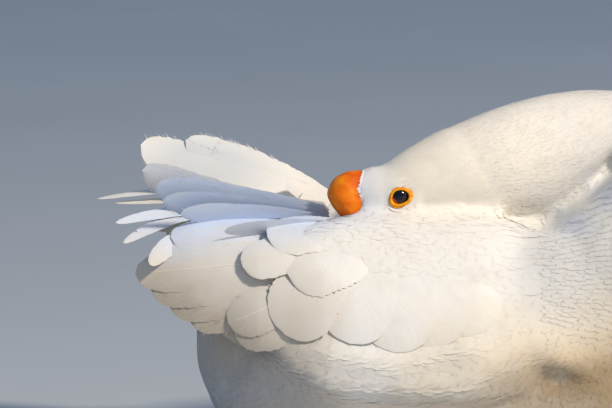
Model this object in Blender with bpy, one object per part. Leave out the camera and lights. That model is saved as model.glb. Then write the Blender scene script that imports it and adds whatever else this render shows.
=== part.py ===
"""A white Chinese goose at rest, life size: it sits on its belly with its neck folded back,
its head laid along the back and its bill pushed in under the feathers of the right wing.

The goose faces +X, +Z is up, and its right side is towards -Y. The origin lies on the flat
under its belly. Sizes and places below are in millimetres and degrees, and new_object scales
the finished points to metres.
"""

import math

import bmesh
import bpy
import numpy as np

METRES = 0.001
GAP = 0.4  # left between two pieces that touch
RIGHT, LEFT = -1, 1  # the sign of Y on each side of the goose
SIDE_NAMES = {RIGHT: "right", LEFT: "left"}
SHARP_ANGLE = 32  # edges that turn more than this are shaded sharp

# Torso, one row a station along X: the belly's height, the back's height, the half width and
# the height at which the body is widest. The belly is cut flat at Z = 0.
TORSO = (
    (-161, 84, 118, 14, 101),
    (-154, 58, 146, 40, 100),
    (-136, 32, 172, 63, 99),
    (-105, 11, 188, 84, 97),
    (-60, -1, 195, 96, 96),
    (0, -3, 198, 99, 96),
    (60, -3, 200, 99, 96),
    (110, -1, 202, 96, 98),
    (155, 8, 200, 87, 100),
    (195, 24, 187, 71, 102),
    (222, 44, 172, 54, 103),
    (238, 62, 150, 36, 103),
    (247, 84, 126, 14, 103),
)
TORSO_STATIONS = 18
TORSO_SIDES = 26
BELLY_FULLNESS = 2.3  # exponent of the lower half's outline, where 2 is an ellipse

# Neck, one row a ring: the ring's outer and inner points in the XZ plane, its middle's Y, its
# half width and its turn about Z. The first ring lies inside the breast. The head's own first
# ring ends the neck.
NECK = (
    (236, 118, 66, 140, 0, 95, 0),
    (246, 160, 92, 180, -1, 92, 0),
    (251, 202, 120, 204, -2, 84, 0),
    (246, 240, 145, 222, -2, 70, 0),
    (225, 272, 165, 238, 1, 57, 0),
    (192, 291, 163, 243, 5, 46, 0),
    (154, 297, 139, 211, 4, 45, 1),
    (113, 294, 114, 196, -3, 42, 3),
    (75, 285, 89, 200, -13, 38, 6),
)
NECK_SQUARENESS = (2.6, 2)  # of its section, low on the neck and from its bend on
NECK_SIDES = 20
NECK_CUTS = (3, 5)  # the rings at which the neck is parted into its lengths
RINGS_BETWEEN = 3

# Head. Its frame starts midway between the eyes, with a first axis towards the bill, a second
# to the head's left and a third towards the crown.
HEAD_AT = (-3.5, -28, 219.5)
HEAD_PITCH = 30  # the bill end is this much lower
HEAD_YAW = 8  # the bill end is turned this much towards the right wing
# One row a station along the head: throat height, crown height, half width.
HEAD = (
    (-58, -60, 24.5, 33),
    (-42, -50, 25.5, 31),
    (-22, -39, 25.5, 28.5),
    (-5, -29, 24, 25),
    (4, -27, 25, 23),
    (12, -24.5, 27.5, 21),
    (20, -22, 29, 19),
    (27, -19.5, 27.5, 17.5),
    (31, -18, 22, 15),
)
HEAD_STATIONS = 11
# The knob on the forehead, in rows like the head's.
KNOB = (
    (13, 2, 28, 9.5),
    (20, -2, 32, 12),
    (27, -4, 34.3, 13.8),
    (34, -5, 34.3, 15),
    (40, -4, 32.6, 14.3),
    (44, 0, 30, 11.8),
    (46.5, 6, 27, 8.5),
    (47.8, 13, 23.5, 4.5),
)
KNOB_STATIONS, KNOB_SIDES = 12, 18
# One row a station along the bill: lower edge, upper edge, half width.
BILL_UPPER = (
    (33, -14, 5, 14),
    (44, -15.5, 2, 13.5),
    (56, -18, -5, 12.8),
    (68, -21, -11.5, 12.2),
    (79, -24, -17.5, 11.2),
    (86, -27, -22, 8.5),
    (90, -29.5, -26, 4),
)
BILL_LOWER = (
    (33, -21.5, -14.6, 12.5),
    (50, -23.5, -17.4, 11.5),
    (66, -26, -21.3, 10.3),
    (77, -28, -24.4, 8.5),
    (83, -29.6, -27.4, 5),
)
BILL_STATIONS = 8
BILL_SIDES = 14
NOSTRIL_AT = (52, -7)  # along the bill and up
NOSTRIL_RADII = (5, 1.8)
NOSTRIL_SLOPE = 0.35
NOSTRIL_SIDES = 10
NOSTRIL_REACH = 17  # to both sides, right through the bill
EYE_OUT = 17.6  # from the head's middle to the eyeball's middle
EYE_RADIUS = 8
EYE_STATIONS, EYE_SIDES = 9, 16
EYE_TIP = 0.16  # the turn from an eyeball's pole to its first ring
LID_OUT = 24.2
LID_FACING = (0.2, 1, 0.21)  # forward, outward and up, as the cheek faces
LID_RADIUS = 7.6  # of the ring's own middle line
LID_SECTION = (1.7, 1.3)  # the ring's half width and half thickness
LID_SIDES = 20
LID_ROUNDING = 6

# Wings. One row a station along X of the shell that a folded wing follows: its half width, its
# middle's height and its half height. An angle is taken round this shell, 0 at the side and
# 90 on the back, and a height is measured outwards from it.
WING = (
    (130, 92, 98, 100.5),
    (60, 99.5, 96, 101.5),
    (0, 99.5, 96, 101.5),
    (-60, 97, 97, 99.5),
    (-110, 88, 104, 94),
    (-160, 72, 112, 88),
    (-200, 55, 118, 82),
    (-240, 40, 122, 78),
)
WING_CORE_X = (-84, 106)
WING_CORE_ANGLES = {RIGHT: (-22, 72), LEFT: (-22, 80)}
WING_CORE_GRID = (11, 8)
WING_CORE_DEPTH = -3  # sunk into the body, which is then cut away from it
WING_CORE_HEIGHTS = (14, 24)  # low on the flank and along the back
WING_CORE_SWELL = (-0.1, 0.7)  # the one passes into the other between these, from -1 below to 1
WING_CORE_EASE = 1.5  # by this power of the share of the way
WING_CORE_END = (0.1, 0.3)  # the ends' share of the full span, and the power of its widening
# Each tier's feathers lie between these: the root's X and angle, the tip's X and angle, and
# the width. The number of feathers and the heights of roots and tips come after them.
PRIMARIES = (
    (
        (-64, 42, -222, 68, 19),
        (-56, 29, -214, 48, 21),
        (-44, 16, -186, 32, 24),
        (-20, 4, -132, 12, 26),
    ),
    7,
    (1.5, 3),
)
SECONDARIES = (
    (
        (-62, 55, -190, 40, 42),
        (-58, 38, -204, 24, 44),
        (-46, 26, -176, 11, 42),
        (-30, 14, -134, 2, 40),
        (6, 2, -66, -2, 38),
    ),
    7,
    (7, 9.5),
)
COVERTS = (
    ((-46, 46, -124, 39, 36), (-30, 34, -92, 12, 40), (26, 30, -10, 8, 40), (76, 30, 50, 12, 40)),
    7,
    (12.5, 16),
)
SCAPULARS = (
    ((-34, 66, -134, 62, 34), (6, 62, -84, 48, 38), (70, 56, 6, 38, 40)),
    5,
    (20, 23),
)
# The left wing lies looser than the right: its tips are lifted and its quills reach further.
TIP_LIFT = {RIGHT: 0, LEFT: 13}
QUILL_REACH = {RIGHT: 0, LEFT: 13}
# Its innermost feathers stand up and fan out over the back. Root, tip and width.
RAISED = (
    ((-46, 38, 200), (-197, 40, 251), 36),
    ((-40, 31, 199), (-203, 16, 226), 38),
    ((-34, 24, 196), (-166, 1, 199), 34),
)
RAISED_COUNT = 5
RAISED_STEP = 1.5  # from each of them to the next, along their facing
RAISED_FACING = (0.2, -0.75, 0.6)
RAISED_BEND = 3
SHAFT_THICKNESS = 0.9
EDGE_THICKNESS = 0.55
ROLL = 0.16  # slope by which each feather leans on the next one
# Along a vane from root to tip: its stations and its share of the full width there.
VANE_STATIONS = (0, 0.4, 0.75, 0.92, 1.0)
VANE_WIDTHS = (0.5, 0.94, 1.0, 0.72, 0.24)

# Tail. Its core widens from the rump and carries a fan of feathers.
TAIL_PIVOT = (-108, 0, 142)
TAIL_RISE = 16
TAIL_SPREAD = 20
TAIL_FEATHERS = 8
TAIL_REACH = (46, 90)  # from the pivot to a feather's root and to its tip
TAIL_ROUNDING = 6  # the outermost feathers end this much short of the middle ones
TAIL_WIDTH = 26
TAIL_STEP = 1.3  # the left middle feather lies this much over the right one
TAIL_ARCH = 7
# One row a station from the pivot: half width and half thickness.
TAIL_CORE = ((8, 46, 20), (26, 44, 19), (44, 36, 13), (58, 26, 6), (66, 16, 2))
TAIL_SIDES = 16

# Legs and feet, tucked under.
LEG_Y = 68
# One row a station along the shank: X, height and radius.
SHANK = ((-88, 19, 9), (-76, 11, 10), (-66, 8.5, 8), (-40, 7, 7), (-10, 7, 7.5), (3, 7, 9))
SHANK_SIDES = 12
TOE_ROOT_X = 4
TOE_LENGTHS = (72, 88, 74)  # inner, middle and outer toe
TOE_ANGLES = (22, 2, -18)  # positive towards the body's middle
TOE_RADII = (5.2, 5, 4.2, 4.4, 3.2, 1.2)
TOE_SIDES = 8
TOE_SUNK = 0.8  # below the floor, where it is cut flat
WEB_THICKNESS = 2.2
WEB_ENDS = (0.12, 0.84)  # shares of the toes' lengths
WEB_ROWS = 4
WEB_HOLLOW = 0.16

WHITE = ((0.87, 0.86, 0.82), 0.75)
ORANGE = ((0.87, 0.29, 0.02), 0.4)
LID_ORANGE = ((0.86, 0.35, 0.03), 0.45)
DARK = ((0.015, 0.012, 0.02), 0.08)


def unit(v):
    v = np.asarray(v, float)
    return v / np.linalg.norm(v)


def circle(count):
    """The cosine and sine of count angles round a circle."""
    turns = np.arange(count) * 2 * math.pi / count
    return list(zip(np.cos(turns), np.sin(turns)))


def between(rows, x):
    """The rows' other columns at x, on a smooth curve that doesn't overshoot them."""
    rows = np.array(sorted(rows), float)
    x = min(max(x, rows[0, 0]), rows[-1, 0])
    i = int(np.clip(np.searchsorted(rows[:, 0], x) - 1, 0, len(rows) - 2))
    slopes = np.diff(rows[:, 1:], axis=0) / np.diff(rows[:, 0])[:, None]

    def tangent(k):
        if k in (0, len(rows) - 1):
            return slopes[min(k, len(slopes) - 1)]
        product = slopes[k - 1] * slopes[k]
        total = np.where(product > 0, slopes[k - 1] + slopes[k], 1)
        return np.where(product > 0, 2 * product / total, 0)

    step = rows[i + 1, 0] - rows[i, 0]
    t = (x - rows[i, 0]) / step
    return (
        rows[i, 1:] * (2 * t**3 - 3 * t**2 + 1)
        + rows[i + 1, 1:] * (3 * t**2 - 2 * t**3)
        + tangent(i) * step * (t**3 - 2 * t**2 + t)
        + tangent(i + 1) * step * (t**3 - t**2)
    )


def catmull(rows, t):
    """The point at t on the smooth curve through the rows, which lie at t = 0, 1, 2 and on."""
    p = np.asarray(rows, float)
    p = np.concatenate([[2 * p[0] - p[1]], p, [2 * p[-1] - p[-2]]])
    i = min(int(t), len(p) - 4)
    t = t - i
    a, b, c, d = p[i : i + 4]
    square, cube = 2 * a - 5 * b + 4 * c - d, 3 * b - 3 * c + d - a
    return (2 * b + (c - a) * t + square * t**2 + cube * t**3) / 2


def new_object(name, points, faces, finish=WHITE):
    """A closed mesh object from points in millimetres, its faces turned outwards."""
    mesh = bpy.data.meshes.new(name)
    mesh.from_pydata((np.asarray(points, float) * METRES).tolist(), [], faces)
    shape = bmesh.new()
    shape.from_mesh(mesh)
    bmesh.ops.recalc_face_normals(shape, faces=shape.faces)
    shape.to_mesh(mesh)
    shape.free()
    made = bpy.data.objects.new(name, mesh)
    bpy.context.scene.collection.objects.link(made)
    mesh.materials.append(material(name, *finish))
    smooth(mesh)
    return made


def smooth(mesh):
    """Shades the mesh smooth, apart from its sharp edges."""
    mesh.shade_smooth()
    mesh.set_sharp_from_angle(angle=math.radians(SHARP_ANGLE))


def material(name, colour, roughness):
    made = bpy.data.materials.new(name)
    made.use_nodes = True
    shader = made.node_tree.nodes["Principled BSDF"]
    shader.inputs["Base Color"].default_value = (*colour, 1)
    shader.inputs["Roughness"].default_value = roughness
    shader.inputs["Metallic"].default_value = 0
    return made


def loft(name, rings, finish=WHITE):
    """A closed tube through the rings, each end closed by a fan round its middle."""
    rings = np.asarray(rings, float)
    count, sides = rings.shape[:2]
    points = np.vstack([rings.reshape(-1, 3), rings[0].mean(0), rings[-1].mean(0)])
    first, last = count * sides, count * sides + 1
    faces = []
    for j in range(sides):
        k = (j + 1) % sides
        for a in range(0, (count - 1) * sides, sides):
            b = a + sides
            faces.append((a + j, a + k, b + k, b + j))
        faces.append((first, k, j))
        faces.append((last, first - sides + j, first - sides + k))
    return new_object(name, points, faces, finish)


def slab(name, grid, thickness_way, finish=WHITE):
    """A closed sheet: the grid of points on one face, and the same points moved on the other."""
    grid = np.asarray(grid, float)
    rows, columns = grid.shape[:2]
    points = np.vstack([grid.reshape(-1, 3), (grid + thickness_way).reshape(-1, 3)])
    under = rows * columns
    faces = []
    for i in range(rows - 1):
        for j in range(columns - 1):
            a = i * columns + j
            for shift in (0, under):
                corners = [a, a + 1, a + columns + 1, a + columns]
                faces += [tuple(shift + corners[k] for k in split) for split in ((0, 1, 2), (0, 2, 3))]
    rim = list(range(columns))
    rim += [i * columns + columns - 1 for i in range(1, rows)]
    rim += [(rows - 1) * columns + j for j in range(columns - 2, -1, -1)]
    rim += [i * columns for i in range(rows - 2, 0, -1)]
    faces += [(a, b, under + b, under + a) for a, b in zip(rim, rim[1:] + rim[:1])]
    return new_object(name, points, faces, finish)


def boolean(target, operation, others):
    """Applies one Boolean with all the others, which are then removed."""
    group = bpy.data.collections.new("operands")
    bpy.context.scene.collection.children.link(group)
    for other in others:
        bpy.context.scene.collection.objects.unlink(other)
        group.objects.link(other)
    modifier = target.modifiers.new("join", "BOOLEAN")
    modifier.operation = operation
    modifier.operand_type = "COLLECTION"
    modifier.collection = group
    modifier.solver = "MANIFOLD"
    graph = bpy.context.evaluated_depsgraph_get()
    result = bpy.data.meshes.new_from_object(target.evaluated_get(graph))
    target.modifiers.clear()
    target.data = result
    for other in list(group.objects):
        bpy.data.objects.remove(other)
    bpy.data.collections.remove(group)
    keep_largest(target)
    return target


def keep_largest(target):
    """Drops all but the largest closed surface."""
    shape = bmesh.new()
    shape.from_mesh(target.data)
    bmesh.ops.triangulate(shape, faces=shape.faces)
    left = set(shape.verts)
    groups = []
    while left:
        stack = [left.pop()]
        group = set(stack)
        while stack:
            linked = {v for edge in stack.pop().link_edges for v in edge.verts} & left
            left -= linked
            group |= linked
            stack += linked
        groups.append(group)
    groups.sort(key=spread_of)
    for group in groups[:-1]:
        bmesh.ops.delete(shape, geom=list(group), context="VERTS")
    shape.to_mesh(target.data)
    shape.free()
    smooth(target.data)


def spread_of(verts):
    places = np.array([v.co for v in verts])
    return float(np.linalg.norm(places.max(0) - places.min(0)))


def copy_of(source, by=0):
    """A copy of the object's present shape, each point moved out by so many millimetres."""
    copy = source.copy()
    copy.data = source.data.copy()
    bpy.context.scene.collection.objects.link(copy)
    ways = [vert.normal.copy() for vert in copy.data.vertices]
    for vert, way in zip(copy.data.vertices, ways):
        vert.co += way * by * METRES
    return copy


class Blanks:
    """The plain shapes of nodes, kept so that neighbours can be cut to fit them."""

    def __init__(self):
        self.meshes = {}

    def keep(self, *nodes):
        for node in nodes:
            self.meshes[node.name] = node.data.copy()

    def cut(self, target, *names):
        """Takes the named shapes, grown by the gap, out of the target."""
        cutters = []
        for name in names:
            plain = bpy.data.objects.new("cutter", self.meshes[name])
            bpy.context.scene.collection.objects.link(plain)
            cutters.append(copy_of(plain, GAP))
            bpy.data.objects.remove(plain)
        boolean(target, "DIFFERENCE", cutters)


def level(target):
    """Cuts the object flat where it rests, at Z = 0."""
    floor = [[(x, y, 0) for y in (-300, 300)] for x in (-400, 400)]
    boolean(target, "DIFFERENCE", [slab("floor", floor, (0, 0, -60))])


def torso_ring(x):
    bottom, top, half, widest = between(TORSO, x)
    power = 2 / BELLY_FULLNESS
    ring = []
    for across, up in circle(TORSO_SIDES):
        if up >= 0:
            ring.append((x, half * across, widest + (top - widest) * up))
        else:
            y = math.copysign(abs(across) ** power, across) * half
            ring.append((x, y, widest - (widest - bottom) * abs(up) ** power))
    return ring


def make_torso():
    low, high = TORSO[0][0], TORSO[-1][0]
    turns = np.linspace(0, math.pi, TORSO_STATIONS)
    return loft("torso", [torso_ring((low + high - (high - low) * c) / 2) for c in np.cos(turns)])


def head_axes():
    pitch, yaw = math.radians(HEAD_PITCH), math.radians(HEAD_YAW)
    level_way = np.array([-math.cos(yaw), -math.sin(yaw), 0])
    forward = level_way * math.cos(pitch) - np.array([0, 0, math.sin(pitch)])
    left = unit(np.cross((0, 0, 1), forward))
    return forward, left, np.cross(forward, left)


def in_head(along, left, up):
    axes = head_axes()
    return np.array(HEAD_AT) + along * axes[0] + left * axes[1] + up * axes[2]


def head_loft(name, rows, stations, sides, finish=WHITE):
    rings = []
    for x in np.linspace(rows[0][0], rows[-1][0], stations):
        low, high, half = between(rows, x)
        middle, tall = (low + high) / 2, (high - low) / 2
        rings.append([in_head(x, half * c, middle + tall * s) for c, s in circle(sides)])
    return loft(name, rings, finish)


def make_eyeball(side):
    rings = []
    for turn in np.linspace(EYE_TIP, math.pi - EYE_TIP, EYE_STATIONS):
        out = side * (EYE_OUT - EYE_RADIUS * math.cos(turn))
        size = EYE_RADIUS * math.sin(turn)
        rings.append([in_head(size * c, out, size * s) for c, s in circle(EYE_SIDES)])
    return loft(f"eye_{SIDE_NAMES[side]}", rings, DARK)


def neck_row(out_x, out_z, in_x, in_z, y, half, turn):
    """A ring's outer point, its inner point and its half width as a vector."""
    turn = math.radians(turn)
    return [(out_x, y, out_z), (in_x, y, in_z), (-math.sin(turn) * half, math.cos(turn) * half, 0)]


def neck_ring(t):
    """The neck's ring at t, where t counts rows from the breast, and its way along the neck."""
    start, throat, crown, half = HEAD[0]
    last = [in_head(start, 0, crown), in_head(start, 0, throat), -head_axes()[1] * half]
    outer, inner, side = catmull([*(neck_row(*row) for row in NECK), last], t)
    outward = (outer - inner) / 2
    power = 2 / np.interp(t, NECK_CUTS, NECK_SQUARENESS)
    ring = []
    for c, s in circle(NECK_SIDES):
        across, sideways = math.copysign(abs(c) ** power, c), math.copysign(abs(s) ** power, s)
        ring.append((outer + inner) / 2 + outward * across + side * sideways)
    return np.array(ring), unit(np.cross(outward, side))


def make_neck():
    ends = (0, *NECK_CUTS, len(NECK))
    made = []
    for name, start, end in zip(("neck_lower", "neck_bend", "neck_upper"), ends, ends[1:]):
        rings = [neck_ring(t)[0] for t in np.linspace(start, end, (end - start) * RINGS_BETWEEN + 1)]
        rings[-1] = rings[-1] - neck_ring(end)[1] * GAP
        made.append(loft(name, rings))
    return made


def nostril():
    """A slot right through the upper bill, from side to side."""
    rings = []
    for side in (-NOSTRIL_REACH, NOSTRIL_REACH):
        ring = []
        for c, s in circle(NOSTRIL_SIDES):
            along, up = NOSTRIL_RADII[0] * c, NOSTRIL_RADII[1] * s
            ring.append(in_head(NOSTRIL_AT[0] + along, side, NOSTRIL_AT[1] + up - NOSTRIL_SLOPE * along))
        rings.append(ring)
    return loft("nostril", rings)


def make_eyelid(side):
    """The orange ring round the eye."""
    facing = unit(LID_FACING)
    ahead = unit(np.cross(facing, (0, 0, 1)))
    rise = np.cross(ahead, facing)
    points = []
    for c, s in circle(LID_SIDES):
        radial = ahead * c + rise * s
        for near, proud in circle(LID_ROUNDING):
            place = np.array([0, LID_OUT, 0]) + radial * (LID_RADIUS + LID_SECTION[0] * near)
            place += facing * LID_SECTION[1] * proud
            points.append(in_head(*(place * (1, side, 1))))
    faces = []
    for i in range(LID_SIDES):
        for j in range(LID_ROUNDING):
            a, b, k = i * LID_ROUNDING, (i + 1) % LID_SIDES * LID_ROUNDING, (j + 1) % LID_ROUNDING
            faces.append((a + j, a + k, b + k, b + j))
    return new_object(f"eyelid_{SIDE_NAMES[side]}", points, faces, LID_ORANGE)


def make_head(blanks):
    head = head_loft("head", HEAD, HEAD_STATIONS, NECK_SIDES)
    upper = head_loft("bill_upper", BILL_UPPER, BILL_STATIONS, BILL_SIDES, ORANGE)
    lower = head_loft("bill_lower", BILL_LOWER, BILL_STATIONS, BILL_SIDES, ORANGE)
    knob = head_loft("knob", KNOB, KNOB_STATIONS, KNOB_SIDES, ORANGE)
    blanks.keep(head, upper, lower, knob)
    boolean(upper, "DIFFERENCE", [nostril()])
    blanks.cut(upper, "knob")
    blanks.cut(head, "knob", "bill_upper", "bill_lower")
    for side in (RIGHT, LEFT):
        eye = make_eyeball(side)
        lid = make_eyelid(side)
        blanks.keep(eye, lid)
        blanks.cut(lid, eye.name)
        blanks.cut(head, eye.name, lid.name)


def wing_point(x, angle, height, side):
    half, middle, tall = between(WING, x)
    a = math.radians(angle)
    return np.array([x, side * (half + height) * math.cos(a), middle + (tall + height) * math.sin(a)])


def vane(surface, width):
    """One feather on a surface that is a place for a share of its length, a distance across it
    and a rise from it. Both faces are split alike."""
    edge, shaft = EDGE_THICKNESS / 2, SHAFT_THICKNESS / 2
    points = []
    for share, fullness in zip(VANE_STATIONS, VANE_WIDTHS):
        half = width * fullness / 2
        section = ((-half, edge), (0, shaft), (half, edge), (half, -edge), (0, -shaft), (-half, -edge))
        points += [surface(share, across, rise) for across, rise in section]
    faces = []
    end = (len(VANE_STATIONS) - 1) * 6
    for a in range(0, end, 6):
        for p, q in ((0, 1), (5, 4), (1, 2), (4, 3), (2, 3), (5, 0)):
            faces += [(a + p, a + q, a + q + 6), (a + p, a + q + 6, a + p + 6)]
    for e in (0, end):
        faces += [(e, e + 1, e + 4), (e, e + 4, e + 5), (e + 1, e + 2, e + 3), (e + 1, e + 3, e + 4)]
    return new_object("vane", points, faces)


def wing_vane(row, heights, side):
    """A feather that lies along the wing's shell, its lower edge lifted over the next one."""
    root_x, root_angle, tip_x, tip_angle, width = row

    def surface(share, across, rise):
        x = root_x + (tip_x - root_x) * share
        angle = root_angle + (tip_angle - root_angle) * share
        height = heights[0] + (heights[1] - heights[0]) * share
        radius = between(WING, x)[0] + height
        back, up = unit((tip_x - root_x, radius * math.radians(tip_angle - root_angle)))
        x -= up * across
        angle += math.degrees(back * across / radius)
        place = wing_point(x, angle, height + ROLL * across + rise, side)
        place[2] += TIP_LIFT[side] * share**2
        return place

    return vane(surface, width)


def make_tier(tier, side, reach=0):
    """A row of feathers, of which the upper ones reach further back."""
    rows, count, heights = tier
    made = []
    for t in np.linspace(0, len(rows) - 1, count):
        row = catmull(rows, t)
        row[2] -= reach * (1 - t / (len(rows) - 1))
        made.append(wing_vane(row, heights, side))
    return made


def flat_vane(root, tip, facing, width, roll, bend=0):
    """A feather in the plane that looks towards facing, its middle bent back by so much."""
    root, tip, facing = np.asarray(root), np.asarray(tip), unit(facing)
    sideways = unit(np.cross(tip - root, facing))

    def surface(share, across, rise):
        height = rise + roll * across - bend * 4 * share * (1 - share)
        return root + (tip - root) * share + sideways * across + facing * height

    return vane(surface, width)


def make_raised():
    """The innermost feathers of the left wing, which stand up and fan out."""
    made = []
    facing = unit(RAISED_FACING)
    rows = [(*root, *tip, width) for root, tip, width in RAISED]
    for i, t in enumerate(np.linspace(0, len(RAISED) - 1, RAISED_COUNT)):
        row = catmull(rows, t)
        step = facing * RAISED_STEP * i
        made.append(flat_vane(row[:3] + step, row[3:6] + step, facing, row[6], 0, RAISED_BEND))
    return made


def wing_core(name, side):
    """The arm and the small feathers over it, as one thick lens laid on the flank."""
    low, high = WING_CORE_HEIGHTS
    x_middle, x_reach = sum(WING_CORE_X) / 2, (WING_CORE_X[1] - WING_CORE_X[0]) / 2
    angles = WING_CORE_ANGLES[side]
    angle_middle, angle_reach = sum(angles) / 2, (angles[1] - angles[0]) / 2
    outside, inside = [], []
    for turn in np.linspace(0, math.pi, WING_CORE_GRID[0]):
        u = -math.cos(turn)
        rounding = WING_CORE_END[0] + (1 - WING_CORE_END[0]) * max(1 - u * u, 0) ** WING_CORE_END[1]
        outer_row, inner_row = [], []
        for v in np.linspace(-1, 1, WING_CORE_GRID[1]):
            full = math.sqrt(max(1 - u**6, 0) * (1 - v**6))
            share = min(max(v - WING_CORE_SWELL[0], 0) / (WING_CORE_SWELL[1] - WING_CORE_SWELL[0]), 1)
            rise = low + (high - low) * share**WING_CORE_EASE
            place = (x_middle + x_reach * u, angle_middle + angle_reach * rounding * v)
            outer_row.append(wing_point(*place, 1 + (rise - 1) * full, side))
            inner_row.append(wing_point(*place, WING_CORE_DEPTH, side))
        outside.append(outer_row)
        inside.append(inner_row)
    return slab(name, outside, np.array(inside) - np.array(outside))


def make_wing(side, blanks):
    wing = wing_core(f"wing_{SIDE_NAMES[side]}", side)
    feathers = make_tier(PRIMARIES, side, QUILL_REACH[side])
    for tier in (SECONDARIES, COVERTS, SCAPULARS):
        feathers += make_tier(tier, side)
    if side == LEFT:
        feathers += make_raised()
    boolean(wing, "UNION", feathers)
    blanks.cut(wing, "torso", "neck_lower", "neck_upper", "head", "knob", "bill_upper", "bill_lower")


def in_tail(reach, sideways, up):
    """A point that far from the tail's pivot, turned sideways by degrees, and up from its plane."""
    rise, turn = math.radians(TAIL_RISE), math.radians(sideways)
    back = np.array([-math.cos(rise), 0, math.sin(rise)])
    normal = np.array([math.sin(rise), 0, math.cos(rise)])
    across = np.array([0, 1, 0])
    return np.array(TAIL_PIVOT) + reach * (back * math.cos(turn) + across * math.sin(turn)) + up * normal


def make_tail(blanks):
    rings = []
    for reach, half, thick in TAIL_CORE:
        middle = in_tail(reach, 0, -thick / 2)
        up = in_tail(reach, 0, 1) - in_tail(reach, 0, 0)
        rings.append([middle + np.array([0, half * c, 0]) + up * thick * s for c, s in circle(TAIL_SIDES)])
    tail = loft("tail", rings)
    feathers = []
    normal = in_tail(0, 0, 1) - in_tail(0, 0, 0)
    for t in np.linspace(-1, 1, TAIL_FEATHERS):
        height = -TAIL_ARCH * t * t + (TAIL_STEP if t > 0 else 0)
        short = TAIL_ROUNDING * t * t
        root, tip = (in_tail(reach - short, TAIL_SPREAD * t, height) for reach in TAIL_REACH)
        feathers.append(flat_vane(root, tip, normal, TAIL_WIDTH, math.copysign(ROLL, -t)))
    boolean(tail, "UNION", feathers)
    blanks.cut(tail, "torso")


def make_leg(side, blanks):
    rings = [[(x, side * LEG_Y + r * c, z + r * s) for c, s in circle(SHANK_SIDES)] for x, z, r in SHANK]
    leg = loft(f"leg_{SIDE_NAMES[side]}", rings, ORANGE)
    blanks.keep(leg)
    blanks.cut(leg, "torso")
    level(leg)


def toe_point(toe, share, side):
    turn = math.radians(TOE_ANGLES[toe])
    reach = TOE_LENGTHS[toe] * share
    return np.array([TOE_ROOT_X + reach * math.cos(turn), side * (LEG_Y - reach * math.sin(turn)), 0])


def make_foot(side, blanks):
    """Three front toes and the web between them, laid flat under the flank."""
    toes = []
    for toe in range(3):
        rings = []
        for share, radius in zip(np.linspace(0, 1, len(TOE_RADII)), TOE_RADII):
            middle = toe_point(toe, share, side) + np.array([0, 0, radius - TOE_SUNK])
            rings.append([middle + np.array([0, radius * c, radius * s]) for c, s in circle(TOE_SIDES)])
        toes.append(loft(f"foot_{SIDE_NAMES[side]}", rings, ORANGE))
    webs = []
    for toe in (0, 1):
        grid = []
        for share in np.linspace(*WEB_ENDS, WEB_ROWS):
            ends = [toe_point(k, share, side) for k in (toe, toe + 1)]
            row = []
            for t in (0, 0.5, 1):
                hollow = WEB_HOLLOW * share * 4 * t * (1 - t)
                middle = [toe_point(k, share * (1 - hollow), side) for k in (toe, toe + 1)]
                row.append(middle[0] * (1 - t) + middle[1] * t)
            row[0], row[2] = ends
            grid.append(row)
        webs.append(slab("web", grid, (0, 0, WEB_THICKNESS)))
    foot = boolean(toes[0], "UNION", [*toes[1:], *webs])
    blanks.cut(foot, f"leg_{SIDE_NAMES[side]}", "torso")
    level(foot)


def make_goose():
    blanks = Blanks()
    torso = make_torso()
    lower, bend, upper = make_neck()
    blanks.keep(torso, lower, bend, upper)
    make_head(blanks)
    blanks.cut(lower, "torso", "neck_upper")
    blanks.cut(bend, "neck_upper")
    for side in (RIGHT, LEFT):
        make_wing(side, blanks)
        make_leg(side, blanks)
        make_foot(side, blanks)
    make_tail(blanks)
    blanks.cut(torso, "neck_upper", "head", "knob", "bill_upper", "bill_lower")
    level(torso)


for old in list(bpy.data.objects):
    bpy.data.objects.remove(old)
make_goose()
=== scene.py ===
"""A white Chinese goose at rest: its skin, its coat feather by feather, its bill, eyes and feet.

Lengths are in millimetres and angles in degrees until a mesh is made. The goose faces +X, and its
right side is towards -Y.
"""

import math

import bmesh
import bpy
import numpy as np
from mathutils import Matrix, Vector, noise
from mathutils.bvhtree import BVHTree
from mathutils.kdtree import KDTree


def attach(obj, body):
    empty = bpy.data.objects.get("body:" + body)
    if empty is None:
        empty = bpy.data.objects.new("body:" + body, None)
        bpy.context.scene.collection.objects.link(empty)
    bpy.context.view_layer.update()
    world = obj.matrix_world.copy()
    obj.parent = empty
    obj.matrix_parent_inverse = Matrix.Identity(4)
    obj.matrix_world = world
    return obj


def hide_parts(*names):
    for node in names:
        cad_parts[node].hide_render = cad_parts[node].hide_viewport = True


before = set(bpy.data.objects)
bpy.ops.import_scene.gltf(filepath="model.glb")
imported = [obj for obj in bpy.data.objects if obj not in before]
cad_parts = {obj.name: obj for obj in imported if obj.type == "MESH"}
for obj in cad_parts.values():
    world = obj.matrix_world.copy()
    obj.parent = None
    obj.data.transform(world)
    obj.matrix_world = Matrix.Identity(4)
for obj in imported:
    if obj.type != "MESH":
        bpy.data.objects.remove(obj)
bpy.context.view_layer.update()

MM = 0.001
RIGHT, LEFT = -1, 1
SIDES = (RIGHT, LEFT)
SIDE_NAMES = {RIGHT: "right", LEFT: "left"}

# The head's frame: its place between the eyes, and axes towards the bill, the left and the crown.
HEAD_AT = np.array([-3.5, -28, 219.5])
HEAD_PITCH, HEAD_YAW = math.radians(30), math.radians(8)

# The wing's shell, a row a station along X: half width, middle height and half height. Angles
# are taken round it from the side, and heights outwards from it.
WING = (
    (-240, 40, 122, 78),
    (-200, 55, 118, 82),
    (-160, 72, 112, 88),
    (-110, 88, 104, 94),
    (-60, 97, 97, 99.5),
    (0, 99.5, 96, 101.5),
    (60, 99.5, 96, 101.5),
    (130, 92, 98, 100.5),
)
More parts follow.
